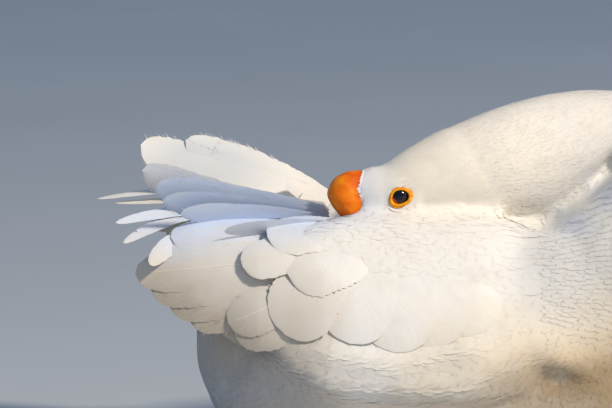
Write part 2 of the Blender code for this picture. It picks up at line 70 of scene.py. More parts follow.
# The folded arm on the shell: its reach along X and round the shell, its heights at the lower and
# the upper edge, the shares across between which it swells from one to the other, and its depth.
ARM_X = (-104, 110)
ARM_ANGLES = {RIGHT: (-22, 75), LEFT: (-22, 80)}
ARM_HEIGHTS = (14.5, 27.5)
ARM_SWELL = (-0.1, 0.7)
ARM_DEPTH = -12
ARM_GRID = (40, 30)

# The neck's middle line, from the head down to the breast, and the point from which the coat
# fans over the shoulders.
NECK_LINE = (
    (45, -21, 250),
    (84, -13, 246),
    (114, -3, 246),
    (147, 4, 252),
    (178, 5, 267),
    (198, 2, 254),
    (200, -2, 232),
    (190, -3, 203),
    (174, -1, 170),
    (155, 0, 130),
)
SHOULDER_POINT = (16, 155)

# The skin covers these nodes of the solids, each swollen a little so that they join.
FLESH = ("torso", "neck_lower", "neck_bend", "neck_upper", "head")
SEAM_CLOSING = 0.7
VOXEL = 3.0
SMOOTHING_ROUNDS = 12
# How deep the skin lies under the coat. What isn't named here is as deep as the torso.
DEPTHS = {"head": 1.3, "neck_upper": 2.2, "neck_bend": 2.4, "neck_lower": 3.2, "torso": 3.4}
UNWRAP_ANGLE, UNWRAP_MARGIN = math.radians(66), 0.002
PATCH = 0.003  # a feather's width on the unwrapped skin

SEED = 12
BELLY_TOP = 6  # the coat under this height is the belly's
# Nodes that the small feathers keep clear of.
HORN = ("bill_upper", "bill_lower", "eye_left", "eye_right")

# Folds in the coat on both flanks: how far the coat above them stands out, how soon that fades,
# and the fold's line in X and Z. A line that runs down has its front raised.
FLANK_FOLDS = (
    (4.5, 34, ((-121, 110), (-86, 96), (-55, 83), (39, 80), (78, 97), (113, 109))),
    (4, 18, ((-86, 113), (-39, 104), (-4, 99), (31, 109), (78, 117))),
    (3.5, 16, ((93, 121), (117, 104), (136, 99), (165, 105))),
    (3.5, 22, ((93, 113), (125, 96), (140, 88), (165, 70))),
    (5, 24, ((-92, 106), (-109, 87), (-119, 72), (-121, 50))),
)
FOLD_UNDERSIDE = 12  # a fold rounds off so far below its line
FOLD_FADE = 30  # it fades out so near to its ends and to the goose's middle

# Half widths of the flesh behind the neck's side: a row a height, and its stations along X.
SHOULDER_X = (85, 100, 115, 132, 150, 165, 180, 193, 205, 216, 223)
SHOULDER = (
    (75, 94, 92, 90, 88, 86, 80, 72, 63, 52, 34, 5),
    (85, 101, 98, 95, 93, 90, 84, 78, 72, 63, 50, 15),
    (100, 107, 104, 101, 98, 93, 89, 84, 80, 73, 62, 30),
    (115, 108, 105, 102, 99, 95, 92, 89, 86, 80, 71, 38),
    (130, 104, 102, 100, 98, 96, 95, 92, 90, 85, 77, 45),
    (150, 97, 97, 97, 96, 95, 94, 92, 90, 87, 80, 50),
    (170, 88, 90, 91, 91, 91, 91, 90, 88, 85, 79, 50),
    (185, 77, 81, 83, 85, 86, 86, 85, 83, 80, 73, 45),
    (196, 64, 68, 70, 72, 74, 75, 75, 74, 72, 66, 40),
)

# The furrows on the sides of the neck: degrees from one to the next, their height, the X between
# which they run, the Z above which they start, and over what length behind, ahead and below.
FURROW_TURN = 1.7
FURROW_HEIGHT = 0.25
FURROW_X = (94, 262)
FURROW_Z = 84
FURROW_FADES = (14, 40, 20)
FURROW_SPACING = 2.1
# The way that the coat lies from root to tip, where it doesn't follow the neck: on the back and
# flanks, on the breast, and on the head along its own axes.
LIE, LIE_IN_FRONT, LIE_ON_HEAD = (-1.0, 0, -0.12), (-0.3, 0, -1), (-1.0, 0, -0.15)
FAN_X, FAN_FADE = 215, 50  # the coat fans over the shoulders behind this X, and how gradually

# Small feathers.
TRIES_PER_ROOT = 4  # places drawn for each spacing squared of skin
WALK_STATIONS = 4  # places on a feather's middle line
TIP_ROUNDING = 0.12  # how far the sides lie behind the middle at the tip, a share of the length
BARB_REACH = 0.1  # how unevenly the barbs at the tip end, a share of the length
LAID_ABOVE, ROOT_SINK = 0.1, 0.12  # a feather's height over the skin, and how far its root is sunk
CAMBER = 0.12  # how far the edges bend down, a share of the half width
LEAN = 0.03  # how far one edge stands over the other by chance, a share of the half width
SOFTNESS = 0.5  # the skin's share in the way that a feather is shaded

# Large feathers.
VANE_ROWS, VANE_COLUMNS = 44, 17
VANE_SLANT = 0.16  # how far the barbs reach ahead of the shaft, a share of the length
VANE_ROOT = 0.35  # the width at the root, a share of the full one
VANE_FULL, VANE_SHOULDER = 0.55, 0.66  # shares along between which the vane is at its full width
VANE_SPLITS = 0.7  # how often the barbs part on each side of a worn vane, on average
VANE_WAVE = 0.15  # how far the vane's edges wave up and down
VANE_SOFTNESS = 0.25  # how far the shading of its waves is evened out
# A parting's width at the edge, the share across where it starts, and how many rows of points
# partings are apart.
SPLIT_WIDTH, SPLIT_START = (0.6, 2.4), (0.2, 0.75)
SPLITS_APART = 4
BARB_ROUGHNESS = 0.05  # how unevenly its barbs lie
# Loose barbs at the edge: their reach, how much of it runs along the vane, their width, the share of
# the half width at which they start, their place on the vane's map and how they stray in height.
FRINGE_REACH = (2, 7)
FRINGE_LEAN = (0.5, 0.85)
FRINGE_WIDTH = 0.4
FRINGE_INSET = 0.96
FRINGE_ON_MAP = (0.9, 0.9)
FRINGE_STRAY = 0.25
SHAFT_ROWS, SHAFT_SIDES = 12, 6
SHAFT_WIDTH = 0.75
SHAFT_FULL_AT = 36  # shafts are thinner on vanes narrower than this

# Large feathers along a wing's shell: root X and angle, tip X and angle, width, and heights of root
# and tip.
SECONDARIES = (
    (-44, 14, -150, 18, 26, 1.5, 3),
    (-40, 8, -140, 10, 26, 2, 3.5),
    (-72, 70, -178, 52, 34, 5, 6.2),
    (-69, 60, -183, 39, 32, 5, 6),
    (-58, 48, -205, 28, 30, 4.8, 5.7),
    (-58, 45, -193, 21, 32, 4.4, 5.1),
    (-58, 43, -179, 15, 34, 4, 4.6),
    (-55, 44, -164, 10, 36, 3.6, 4.1),
    (-39, 31, -128, 6, 36, 6, 8),
    (-64, 33, -133, 11, 32, 7.5, 9.2),
    (-92, 57, -140, 10, 34, 3.8, 4.6),
)
COVERTS = (
    (52, 45, 46, 12, 56, 8, 12.9),
    (27, 52, 20, 8, 58, 8, 13.3),
    (4, 54, -6, 6, 58, 8, 13.6),
    (-20, 57, -40, 9, 56, 8, 13.9),
    (-43, 57, -89, 10, 54, 9, 13.8),
)
SCAPULARS = (
    (-48, 57, -122, 36, 36, 10, 16),
    (-15, 50, -88, 35, 52, 12, 16.8),
    (-30, 62, -103, 51, 44, 13, 17.8),
)
# Large feathers that lie in a plane: root, tip, width, the way that the face looks, how far the
# middle bows to the side and how far it arches.
QUILLS = {
    RIGHT: (
        ((-108, 5, 203), (-221, -22, 195), 9, (-0.2, -0.8, 0.6), 5, 0),
        ((-110, 4, 203), (-215, -27, 180), 10, (-0.2, -0.85, 0.5), 10, 0),
        ((-118, -14, 205.8), (-193, -76, 170.4), 16, (-0.3, -0.9, 0.3), 11, -9),
    ),
    LEFT: (
        ((-70, 40, 203), (-238, 42, 205), 15, (0, -0.12, 1), 0, 9),
        ((-66, 36, 201), (-224, 40, 202), 16, (0, -0.1, 1), 0, 4),
        ((-60, 60, 190), (-192, 72, 176), 22, (0, 0.6, 0.8), 0, 3),
        ((-56, 68, 182), (-186, 80, 164), 24, (0, 0.75, 0.6), 0, 3),
    ),
}
SHELL_ARCH = 4  # the middle of a feather along the shell stands out so much
# A scapular that lies loose.
LOOSE = (
    ((-51, -51, 199), (-136, -63, 194), 17, (0, -0.75, -0.65), 0, 0),
)
# The left wing's innermost feathers stand up.
RAISED = (
    ((-37, 40, 199), (-89, 20, 220), 14, (0.1, -0.9, 0.4), 0, -3),
    ((-43, 38, 199), (-145, 44, 246), 28, (0.2, -0.86, 0.46), 0, -3),
    ((-46, 36.5, 200), (-168, 41, 251), 32, (0.2, -0.86, 0.46), 0, -3),
    ((-50, 34, 199), (-203, 32, 249), 41, (0.2, -0.85, 0.45), -5, -3),
    ((-55, 12, 200), (-201, 0, 233), 36, (0, -0.94, -0.34), -15, -3),
    ((-55, -8, 200), (-190, -24, 223), 36, (0, -0.9, -0.43), -8, -3),
    ((-55, -17, 199), (-184, -38, 214), 30, (0, -0.84, -0.54), -5, -3),
    ((-58, -24, 198), (-170, -48, 206), 24, (0, -0.82, -0.57), -3, -3),
)
FARTHEST = {RIGHT: -205, LEFT: -184}  # X that the secondaries reach
# How far one edge of a feather stands over the other, a share of the width.
PLANE_ROLL, SECONDARY_ROLL, SHELL_ROLL, TAIL_ROLL = 0.04, 0.08, 0.05, 0.16
# How far the left wing's feathers stray from their rows: root X and angle, tip X and angle.
ROW_STRAY = (1.5, 0.8, 2, 1)

# The tail's fan: where it turns and how steeply it rises, how many feathers it has, how far they
# spread and from where to where they reach, their width, how much the outer ones are shorter and
# lower, and how far the middle ones are laid over them.
TAIL_PIVOT = np.array([-108, 0, 142])
TAIL_RISE = math.radians(16)
TAIL_BACK = np.array([-math.cos(TAIL_RISE), 0, math.sin(TAIL_RISE)])
TAIL_OVER = np.array([math.sin(TAIL_RISE), 0, math.cos(TAIL_RISE)])
TAIL_FEATHERS = 12
TAIL_SPREAD = 20
TAIL_REACH = (40, 90)
TAIL_WIDTH = 24
TAIL_ROUNDING = 6
TAIL_ARCH = 7
TAIL_STEP = 1.2
# The flesh in the tail, one row a station from the pivot: half width and half thickness.
TAIL_CORE = ((0, 44, 20), (20, 42, 17), (38, 34, 12), (52, 24, 7), (60, 14, 3))
TAIL_SIDES = 32

# Horn parts, one row a station along the head: lower edge, upper edge, half width.
KNOB = (
    (13, 2, 28, 9.5),
    (20, -2, 32, 12),
    (27, -4, 34.3, 13.8),
    (34, -5, 34.3, 15),
    (40, -4, 32.6, 14.3),
    (44, 0, 30, 11.8),
    (46.5, 6, 27, 8.5),
    (47.8, 13, 23.5, 4.5),
    (48.1, 16, 20.5, 1.8),
)
KNOB_STATIONS, KNOB_SIDES = 70, 96
# Where the face's feathers end on the knob: heights over the eye's line and how far ahead.
KNOB_EDGE = ((-6, 1.7, 10, 19.8, 24, 27.6, 31), (28.6, 28, 26.8, 24.5, 20.5, 15.2, 12.5))
FACE_RAGGED = 2.2  # how far the edge strays from that line
FACE_SPACING = 0.45
FACE_TRIES = 60000
# The face's flesh over the back of the knob, one row a station: lower edge, upper edge, half width.
COLLAR = (
    (6, -2, 29.2, 15),
    (13, -1, 29.8, 14),
    (20, -4.5, 33.4, 14.4),
    (27, -6, 36, 16),
    (34, -6.5, 36, 17),
)
COLLAR_BACK = 4
COLLAR_AHEAD = 4.5  # it ends so far ahead of the feathers' edge
COLLAR_RINGS, COLLAR_SIDES = 14, 64
RED_REACH = 6  # the knob is red so far ahead of the feathers
BILL_UPPER = (
    (33, -14, 5, 14),
    (44, -15.5, 2, 13.5),
    (56, -18, -5, 12.8),
    (68, -21, -11.5, 12.2),
    (79, -24, -17.5, 11.2),
    (86, -27, -22, 8.5),
    (89, -28.8, -24.8, 5.6),
    (90, -28.9, -26.5, 3),
)
BILL_LOWER = (
    (33, -21.5, -14.6, 12.5),
    (50, -23.5, -17.4, 11.5),
    (66, -26, -21.3, 10.3),
    (77, -28, -24.4, 8.5),
    (82, -29.4, -26.8, 6),
    (83, -29.5, -27.8, 3.4),
)
BILL_STATIONS, BILL_SIDES = 100, 96
COMB = 2.1  # how closely the comb's teeth stand on the cutting edges
NAIL_X = 79
NOSTRIL_AT = (52, -7)
NOSTRIL_RADII = (5, 1.8)
NOSTRIL_SLOPE = 0.35

# The eyes and their lids, on the left side: EYE_OUT and LID_OUT are how far their middles lie from
# the head's, and LID_FACING is the way that both look.
EYE_OUT = 17.6
EYE_RADIUS = 8
EYE_BULGE = 0.03  # the ball stands out in front by this share of its radius
EYE_RINGS, EYE_SIDES = 48, 64
LID_OUT = 24.2
LID_FACING = (0.2, 1, 0.21)
LID_SIDES = 144
LID_REACH = 9  # the face's feathers part fully within this reach of the eye's middle
LID_COVER = 1.2  # the face's feathers start so far inside the lid's outer edge
LID_RANGE = 8  # only roots as near as this to the lid's plane can lie under it
LID_SEAT = 0.1  # the skin meets the lids so far under their plane
LID_FADE = 8  # that ends so far outside their edges
LID_SUNK = -9  # it leaves out what lies as deep as this
# Round the eye from the bill's side over the top: the angle, the opening's reach and the lid's.
LID_OUTLINE = (
    (0, 7.4, 11.0),
    (28, 6.3, 9.6),
    (60, 5.4, 8.9),
    (90, 4.9, 7.9),
    (120, 4.7, 7.4),
    (155, 5.1, 8.1),
    (180, 5.6, 9.0),
    (198, 5.9, 9.6),
    (229, 5.5, 8.3),
    (268, 4.9, 7.4),
    (300, 5.2, 8.1),
    (318, 6.0, 9.5),
    (342, 7.1, 11.0),
)
# The red corner of the eye: its turns round the eye, its reach from the eye's middle and its height.
CORNER_TURNS = (-55, 35)
CORNER_REACH = (5.1, 7.9)
CORNER_OUT = 0.12  # how far it lies over the ball
CORNER_HEIGHT = -1.2
CORNER_GRID = (24, 14)
# Across the lid from the eye outwards: the share of its width and the height over its plane.
LID_PROFILE = (
    (-0.12, -3.2), (-0.02, -1.2), (0.02, -0.3), (0.1, 0.25), (0.22, 0.6), (0.36, 0.75),
    (0.5, 0.6), (0.64, 0.35), (0.78, 0.05), (0.9, -0.4), (1.0, -1.1), (1.05, -3.2),
)

# Legs, as in the solids: how far out they are, and each toe's root, length and turn outwards.
LEG_Y = 68
TOE_ROOT_X = 4
TOE_LENGTHS = (72, 88, 74)
TOE_ANGLES = (22, 2, -18)
LEG_VOXEL = 1.2
# The shank's ends: the length over which each is drawn in and the share of its thickness left there.
HEEL, ANKLE = (9, 0.1), (6, 0.85)
ANKLE_OVERLAP = 2  # the foot reaches so far into the shank, so that no gap shows between them
# Claws: how far they start inside the toe's end, their length and their half height.
CLAW_INSET, CLAW_LENGTH, CLAW_RADIUS = 3.5, 8, 2.1
CLAW_RINGS, CLAW_SIDES = 12, 20

# Colours.
WHITE, WARM_WHITE = (0.84, 0.83, 0.8), (0.85, 0.8, 0.71)
DUSTY = (0.66, 0.62, 0.56)
EDGE_TAN = (0.6, 0.47, 0.3)
# Patches where the plumage is tinted, most of them painted shade, some painted warm light and some
# staining: a middle, its reach along each axis and the tint.
SHADE_LIGHT_AND_STAIN_TINTS = (
    # Painted shade, grey, on the left wing's raised feathers.
    ((-0.155, 0.04, 0.232), (0.08, 0.03, 0.04), (0.62, 0.65, 0.67)),
    # Painted shade, grey, on the sides of the lower neck.
    ((0.17, 0, 0.16), (0.12, 0.5, 0.1), (0.62, 0.62, 0.6)),
    # Tan on the lower flanks and breast, partly staining and partly painted warm light from below.
    ((0.17, 0, 0.08), (0.2, 0.5, 0.1), (0.76, 0.66, 0.5)),
    # Painted shade, brown, under the overhang at the foot of the neck.
    ((0.15, 0, 0.072), (0.1, 0.5, 0.055), (0.38, 0.27, 0.15)),
    # Painted shade, grey, on the right side of the neck beside the wing's front edge.
    ((0.118, -0.08, 0.178), (0.03, 0.05, 0.05), (0.64, 0.64, 0.62)),
    # Painted shade, blue-grey, on the right side of the lower neck's rim.
    ((0.13, -0.06, 0.2), (0.03, 0.05, 0.016), (0.6, 0.64, 0.7)),
    # Painted shade, blue-grey, on the right side of the lower neck's rim by the bend.
    ((0.155, -0.06, 0.226), (0.025, 0.05, 0.022), (0.54, 0.58, 0.64)),
    # Painted warm light, cream, on the head and upper neck.
    ((0.02, -0.03, 0.235), (0.13, 0.06, 0.06), (0.88, 0.82, 0.71)),
    # Tan on the wings' lower rear feathers, partly staining and partly painted shade.
    ((-0.16, 0, 0.11), (0.16, 0.5, 0.1), (0.48, 0.42, 0.34)),
    # Painted shade, blue, on the left wing's lower raised feathers and the right wing's loose scapular.
    ((-0.14, -0.035, 0.215), (0.17, 0.065, 0.06), (0.6, 0.7, 0.88)),
    # Painted shade, dark blue-grey, on the low rear of the body.
    ((-0.14, 0, 0.03), (0.13, 0.5, 0.1), (0.36, 0.38, 0.42)),
    # Brown on the belly, partly staining and partly painted shade.
    ((0, 0, 0), (0.24, 0.5, 0.09), (0.62, 0.54, 0.42)),
)
ORANGE, ORANGE_DEEP, ORANGE_PALE = (0.8, 0.175, 0.003), (0.68, 0.1, 0.003), (0.86, 0.27, 0.006)
RED = (0.5, 0.035, 0.004)
# Ramps: a place and a colour a stop.
HORN_BLOTCHES = ((0.34, ORANGE_DEEP), (0.5, ORANGE), (0.7, ORANGE_PALE))
LID_MOTTLE = ((0.32, (0.75, 0.17, 0.004)), (0.5, (0.92, 0.37, 0.004)), (0.75, (0.95, 0.47, 0.02)))
CORNER_MOTTLE = ((0.35, (0.45, 0.02, 0.008)), (0.7, (0.75, 0.08, 0.03)))
FOOT_MOTTLE = ((0.35, (0.66, 0.2, 0.03)), (0.55, (0.85, 0.33, 0.05)), (0.75, (0.9, 0.45, 0.1)))
CLAW_MOTTLE = ((0.3, (0.16, 0.1, 0.06)), (0.75, (0.4, 0.26, 0.14)))
SHAFT_MOTTLE = ((0.3, (0.8, 0.74, 0.6)), (0.7, (0.86, 0.82, 0.72)))
FLOOR_MOTTLE = ((0.3, (0.5, 0.53, 0.56)), (0.7, (0.53, 0.56, 0.59)))
# From the middle of the eye outwards: pupil, iris and the dark round it.
EYE_BANDS = (
    (0.26, (0.003, 0.002, 0.006)),
    (0.32, (0.012, 0.007, 0.012)),
    (0.5, (0.035, 0.02, 0.03)),
    (0.56, (0.01, 0.006, 0.008)),
)

# Camera, floor, sky and lamps, in metres. A lamp has an azimuth from the camera's side, an elevation,
# a distance, a size, a power and a colour, and it may be kept out of reflections.
AIM = (-0.0733, 0, 0.2065)
DISTANCE = 4.0
ELEVATION = math.radians(8)
FRAME_WIDTH = 0.477
FLOOR_HALF = 12.0
SKY, SKY_STRENGTH = (0.55, 0.73, 1.0, 1), 0.37
LAMPS = (
    ("key", 47, 38, 4.0, 0.4, 156, (1.0, 0.88, 0.74), True),
    ("bounce", 8, 4, 3.2, 1.6, 11, (1.0, 0.86, 0.68), False),
)


def unit(v):
    v = np.asarray(v, float)
    return v / np.maximum(np.linalg.norm(v, axis=-1, keepdims=True), 1e-9)


def held(values):
    """Values held between 0 and 1."""
    return np.clip(values, 0, 1)


def laid(ways, out):
    """The ways turned to run along a surface that faces out."""
    return unit(ways - out * np.sum(ways * out, axis=1, keepdims=True))


def spanned(a, first, b, second):
    """Places at distances a and b along two ways."""
    return np.multiply.outer(a, first) + np.multiply.outer(b, second)


def ring_turns(count):
    return np.linspace(0, 2 * math.pi, count, endpoint=False)


def sided(name, side):
    return f"{name}_{SIDE_NAMES[side]}"


def between(rows, x):
    """The rows' other columns at each x, on straight lines."""
    rows = np.array(rows, float)
    return np.stack([np.interp(x, rows[:, 0], column) for column in rows[:, 1:].T], axis=-1)


def head_axes():
    level = np.array([-math.cos(HEAD_YAW), -math.sin(HEAD_YAW), 0])
    forward = level * math.cos(HEAD_PITCH) - np.array([0, 0, math.sin(HEAD_PITCH)])
    left = unit(np.cross((0, 0, 1), forward))
    return np.array([forward, left, np.cross(forward, left)])


def in_head(places):
    """World places of points given along the head's axes."""
    return HEAD_AT + np.asarray(places, float) @ head_axes()


def from_head(places):
    return (places - HEAD_AT) @ head_axes().T


def knob_edge(local):
    """How far ahead the face's feathers end at each point's height."""
    return np.interp(local[:, 2], *KNOB_EDGE)


def new_mesh(name, points, face_sets):
    """A mesh from points in millimetres and arrays of three- and four-cornered faces."""
    corners = np.concatenate([faces.ravel() for faces in face_sets])
    sizes = np.concatenate([np.full(len(faces), faces.shape[1]) for faces in face_sets])
    mesh = bpy.data.meshes.new(name)
    mesh.vertices.add(len(points))
    mesh.vertices.foreach_set("co", (np.asarray(points) * MM).ravel())
    mesh.loops.add(len(corners))
    mesh.loops.foreach_set("vertex_index", corners.astype(np.int32))
    mesh.polygons.add(len(sizes))
    mesh.polygons.foreach_set("loop_start", (np.cumsum(sizes) - sizes).astype(np.int32))
    mesh.update(calc_edges=True)
    mesh.shade_smooth()
    return mesh


def add_object(name, data):
    thing = bpy.data.objects.new(name, data)
    bpy.context.scene.collection.objects.link(thing)
    return thing


def place(name, mesh, material, replaced=()):
    """Adds a mesh as a piece of the goose."""
    piece = add_object(name, mesh)
    mesh.materials.clear()
    mesh.materials.append(material)
    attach(piece, "root")
    if replaced:
        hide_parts(*replaced)
    return piece


def read(items, field, width=1, kind=float):
    """A field of all the items of a mesh, a row an item."""
    values = np.empty(len(items) * width, kind)
    items.foreach_get(field, values)
    return values.reshape(-1, width)


def set_uv(mesh, name, per_vertex):
    """Writes a UV map whose coordinates are the same at all corners of a vertex."""
    corners = read(mesh.loops, "vertex_index", kind=np.int32)
    layer = mesh.uv_layers.new(name=name)
    layer.data.foreach_set("uv", per_vertex[corners].ravel())


def points_of(mesh):
    return read(mesh.vertices, "co", 3) / MM


def normals_of(mesh):
    return read(mesh.vertices, "normal", 3)


def set_points(mesh, points):
    mesh.vertices.foreach_set("co", (points * MM).ravel())
    mesh.update()


def sheet_faces(rows, columns, start=0, closed=False):
    """The four-cornered faces of a grid of points, whose rows may be closed into rings."""
    corner = start + np.arange(rows * columns).reshape(rows, columns)
    if closed:
        corner = np.hstack([corner, corner[:, :1]])
    faces = np.stack([corner[:-1, :-1], corner[:-1, 1:], corner[1:, 1:], corner[1:, :-1]], axis=-1)
    return faces.reshape(-1, 4)


def halves(quads):
    """The two triangles of each four-cornered face."""
    return np.vstack([quads[:, [0, 1, 2]], quads[:, [0, 2, 3]]])


def closed_loft(rings):
    """Points and triangles of a tube through the rings, with its ends closed."""
    rings = np.asarray(rings, float)
    count, sides = rings.shape[:2]
    points = np.vstack([rings.reshape(-1, 3), rings[0].mean(0), rings[-1].mean(0)])
    ring = np.arange(sides)
    after = np.roll(ring, -1)
    end = (count - 1) * sides
    first = np.stack([np.full(sides, count * sides), after, ring], axis=-1)
    last = np.stack([np.full(sides, count * sides + 1), end + ring, end + after], axis=-1)
    return points, np.vstack([halves(sheet_faces(count, sides, closed=True)), first, last])


def joined(shapes):
    """Several shapes' points and triangles as one shape's."""
    starts = np.cumsum([0] + [len(points) for points, _ in shapes[:-1]])
    triangles = [triangles + start for (_, triangles), start in zip(shapes, starts)]
    return np.vstack([points for points, _ in shapes]), np.vstack(triangles)


def shell_point(x, angle, height, side):
    """A place over the wing's shell. All but the side may be arrays."""
    half, middle, tall = np.moveaxis(between(WING, x), -1, 0)
    turn = np.radians(angle)
    y = side * (half + height) * np.cos(turn)
    z = middle + (tall + height) * np.sin(turn)
    return np.stack(np.broadcast_arrays(x, y, z), axis=-1)


def arm_pad(side):
    """The folded arm under its feathers: a closed pad laid on the flank."""
    low, high = ARM_HEIGHTS
    rows, columns = ARM_GRID
    u, v = np.meshgrid(np.cos(np.linspace(math.pi, 0, rows)), np.linspace(-1, 1, columns), indexing="ij")
    x = (ARM_X[0] + ARM_X[1]) / 2 + (ARM_X[1] - ARM_X[0]) / 2 * u
    lower, upper = ARM_ANGLES[side]
    rounding = 0.1 + 0.9 * np.maximum(1 - u * u, 0) ** np.where(u > 0, 0.12, 0.3)
    angle = (lower + upper) / 2 + (upper - lower) / 2 * rounding * v
    full = np.sqrt(np.maximum(1 - np.abs(u) ** np.where(u > 0, 5, 6), 0) * (1 - v**6))
    swell = held((v - ARM_SWELL[0]) / (ARM_SWELL[1] - ARM_SWELL[0])) ** 1.5
    outside = shell_point(x, angle, (low + (high - low) * swell) * full, side)
    inside = shell_point(x, angle, np.full_like(x, ARM_DEPTH), side)
    points = np.vstack([outside.reshape(-1, 3), inside.reshape(-1, 3)])
    under = rows * columns
    grid = np.arange(under).reshape(rows, columns)
    rim = np.concatenate([grid[0, :-1], grid[:-1, -1], grid[-1, :0:-1], grid[:0:-1, 0]])
    following = np.roll(rim, -1)
    wall = np.stack([following, rim, rim + under, following + under], axis=-1)
    sheets = [sheet_faces(rows, columns), sheet_faces(rows, columns, under)[:, ::-1]]
    return points, halves(np.vstack([*sheets, wall]))


def node_surface(name):
    """A CAD node's points and triangles, with its doubled points merged."""
    shape = bmesh.new()
    shape.from_mesh(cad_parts[name].data)
    bmesh.ops.remove_doubles(shape, verts=shape.verts, dist=1e-6)
    bmesh.ops.triangulate(shape, faces=shape.faces)
    bmesh.ops.recalc_face_normals(shape, faces=shape.faces)
    shape.normal_update()
    points = np.array([v.co for v in shape.verts]) / MM
    normals = np.array([v.normal for v in shape.verts])
    triangles = np.array([[v.index for v in face.verts] for face in shape.faces])
    shape.free()
    return points, triangles, normals


def tree_of(points, triangles):
    return BVHTree.FromPolygons(points.tolist(), triangles.tolist())


def gaps(tree, points):
    """How far each point is from a surface."""
    return np.array([tree.find_nearest(p)[3] for p in points.tolist()])


def in_tail(reach, turn, up):
    """A place by its distance from the tail's pivot, its turn sideways and its height."""
    turn = np.radians(turn)
    flat = spanned(reach * np.cos(turn), TAIL_BACK, reach * np.sin(turn), (0, 1, 0))
    return TAIL_PIVOT + flat + np.multiply.outer(up, TAIL_OVER)


def tail_core():
    """The flesh in the tail, flat on top."""
    turns = ring_turns(TAIL_SIDES)
    rings = []
    for reach, half, thick in TAIL_CORE:
        ring = in_tail(reach, 0, -thick) + np.outer(np.cos(turns) * half, (0, 1, 0))
        rings.append(ring + np.outer(np.sin(turns) * thick, TAIL_OVER))
    return closed_loft(rings)


def face_collar():
    """The face's flesh, which runs over the knob's back up to the edge of the feathers."""
    turns = ring_turns(COLLAR_SIDES)
    rings = []
    for share in np.linspace(0, 1, COLLAR_RINGS):
        ring = head_loft(COLLAR, 1, COLLAR_SIDES)[0]
        # The edge follows from the height and the height from the place ahead, so it takes a few rounds.
        for _ in range(3):
            ahead = COLLAR_BACK + (knob_edge(ring) + COLLAR_AHEAD - COLLAR_BACK) * share
            low, high, half = between(COLLAR, ahead).T
            height = (low + high + (high - low) * np.sin(turns)) / 2
            ring = np.stack([ahead, half * np.cos(turns), height], axis=1)
        rings.append(ring)
    return closed_loft(in_head(np.array(rings)))


def shoulder_pad(side):
    """Flesh that fills the hollow between the folded arm, the neck and the breast."""
    outside = [[(x, side * out, z) for x, out in zip(SHOULDER_X, outs)] for z, *outs in SHOULDER]
    outside = np.array(outside, float)
    inside = outside * (1, 0.6, 1)
    rings = np.concatenate([outside, inside[:, ::-1]], axis=1)
    return closed_loft(rings if side == RIGHT else rings[:, ::-1])


def lid_swell(points):
    """How far each point of the skin moves out to meet the edges of the lids."""
    local = from_head(points)
    facing = lid_axes()[2]
    moved = np.zeros_like(local)
    for side in SIDES:
        away, height = from_lid(local, side)
        near = held(1 - (away - 1) / LID_FADE) * held((away + 3) / 2) * (height > LID_SUNK)
        out = np.maximum(LID_SEAT - height, 0) * near * near * (3 - 2 * near)
        moved += out[:, None] * facing * (1, side, 1)
    return moved @ head_axes()


def remeshed(points, triangles, voxel, rounds):
    """The outer surface of closed shapes that may cross, evenly meshed and smoothed."""
    holder = add_object("raw", new_mesh("raw", points, [triangles]))
    remesh = holder.modifiers.new("remesh", "REMESH")
    remesh.mode = "VOXEL"
    remesh.voxel_size = voxel * MM
    smooth = holder.modifiers.new("smooth", "SMOOTH")
    smooth.factor = 0.5
    smooth.iterations = rounds
    graph = bpy.context.evaluated_depsgraph_get()
    result = bpy.data.meshes.new_from_object(holder.evaluated_get(graph))
    bpy.data.objects.remove(holder)
    return result


class Surface:
    """Triangles on which feathers can be laid."""

    def __init__(self, points, triangles, normals):
        self.points, self.triangles, self.normals = points, triangles, normals
        self.tree = tree_of(points, triangles)

    def find(self, spots):
        """The nearest places on the surface, their triangles and the shares of those's corners."""
        found = [self.tree.find_nearest(p) for p in spots.tolist()]
        places = np.array([spot for spot, *_ in found])
        faces = np.array([face for _, _, face, _ in found])
        return places, faces, self.shares(places, self.triangles[faces])[:, :, None]

    def nearest(self, spots):
        """The nearest places on the surface, and the way out of it there."""
        places, faces, shares = self.find(spots)
        return places, unit((self.normals[self.triangles[faces]] * shares).sum(axis=1))

    def shares(self, places, corners):
        """How near each place is to each of its triangle's corners."""
        a, b, c = (self.points[corners[:, k]] for k in range(3))
        whole = np.cross(b - a, c - a)
        size = np.maximum((whole * whole).sum(axis=1), 1e-9)
        second = (np.cross(places - a, c - a) * whole).sum(axis=1) / size
        third = (np.cross(b - a, places - a) * whole).sum(axis=1) / size
        return held(np.stack([1 - second - third, second, third], axis=1))


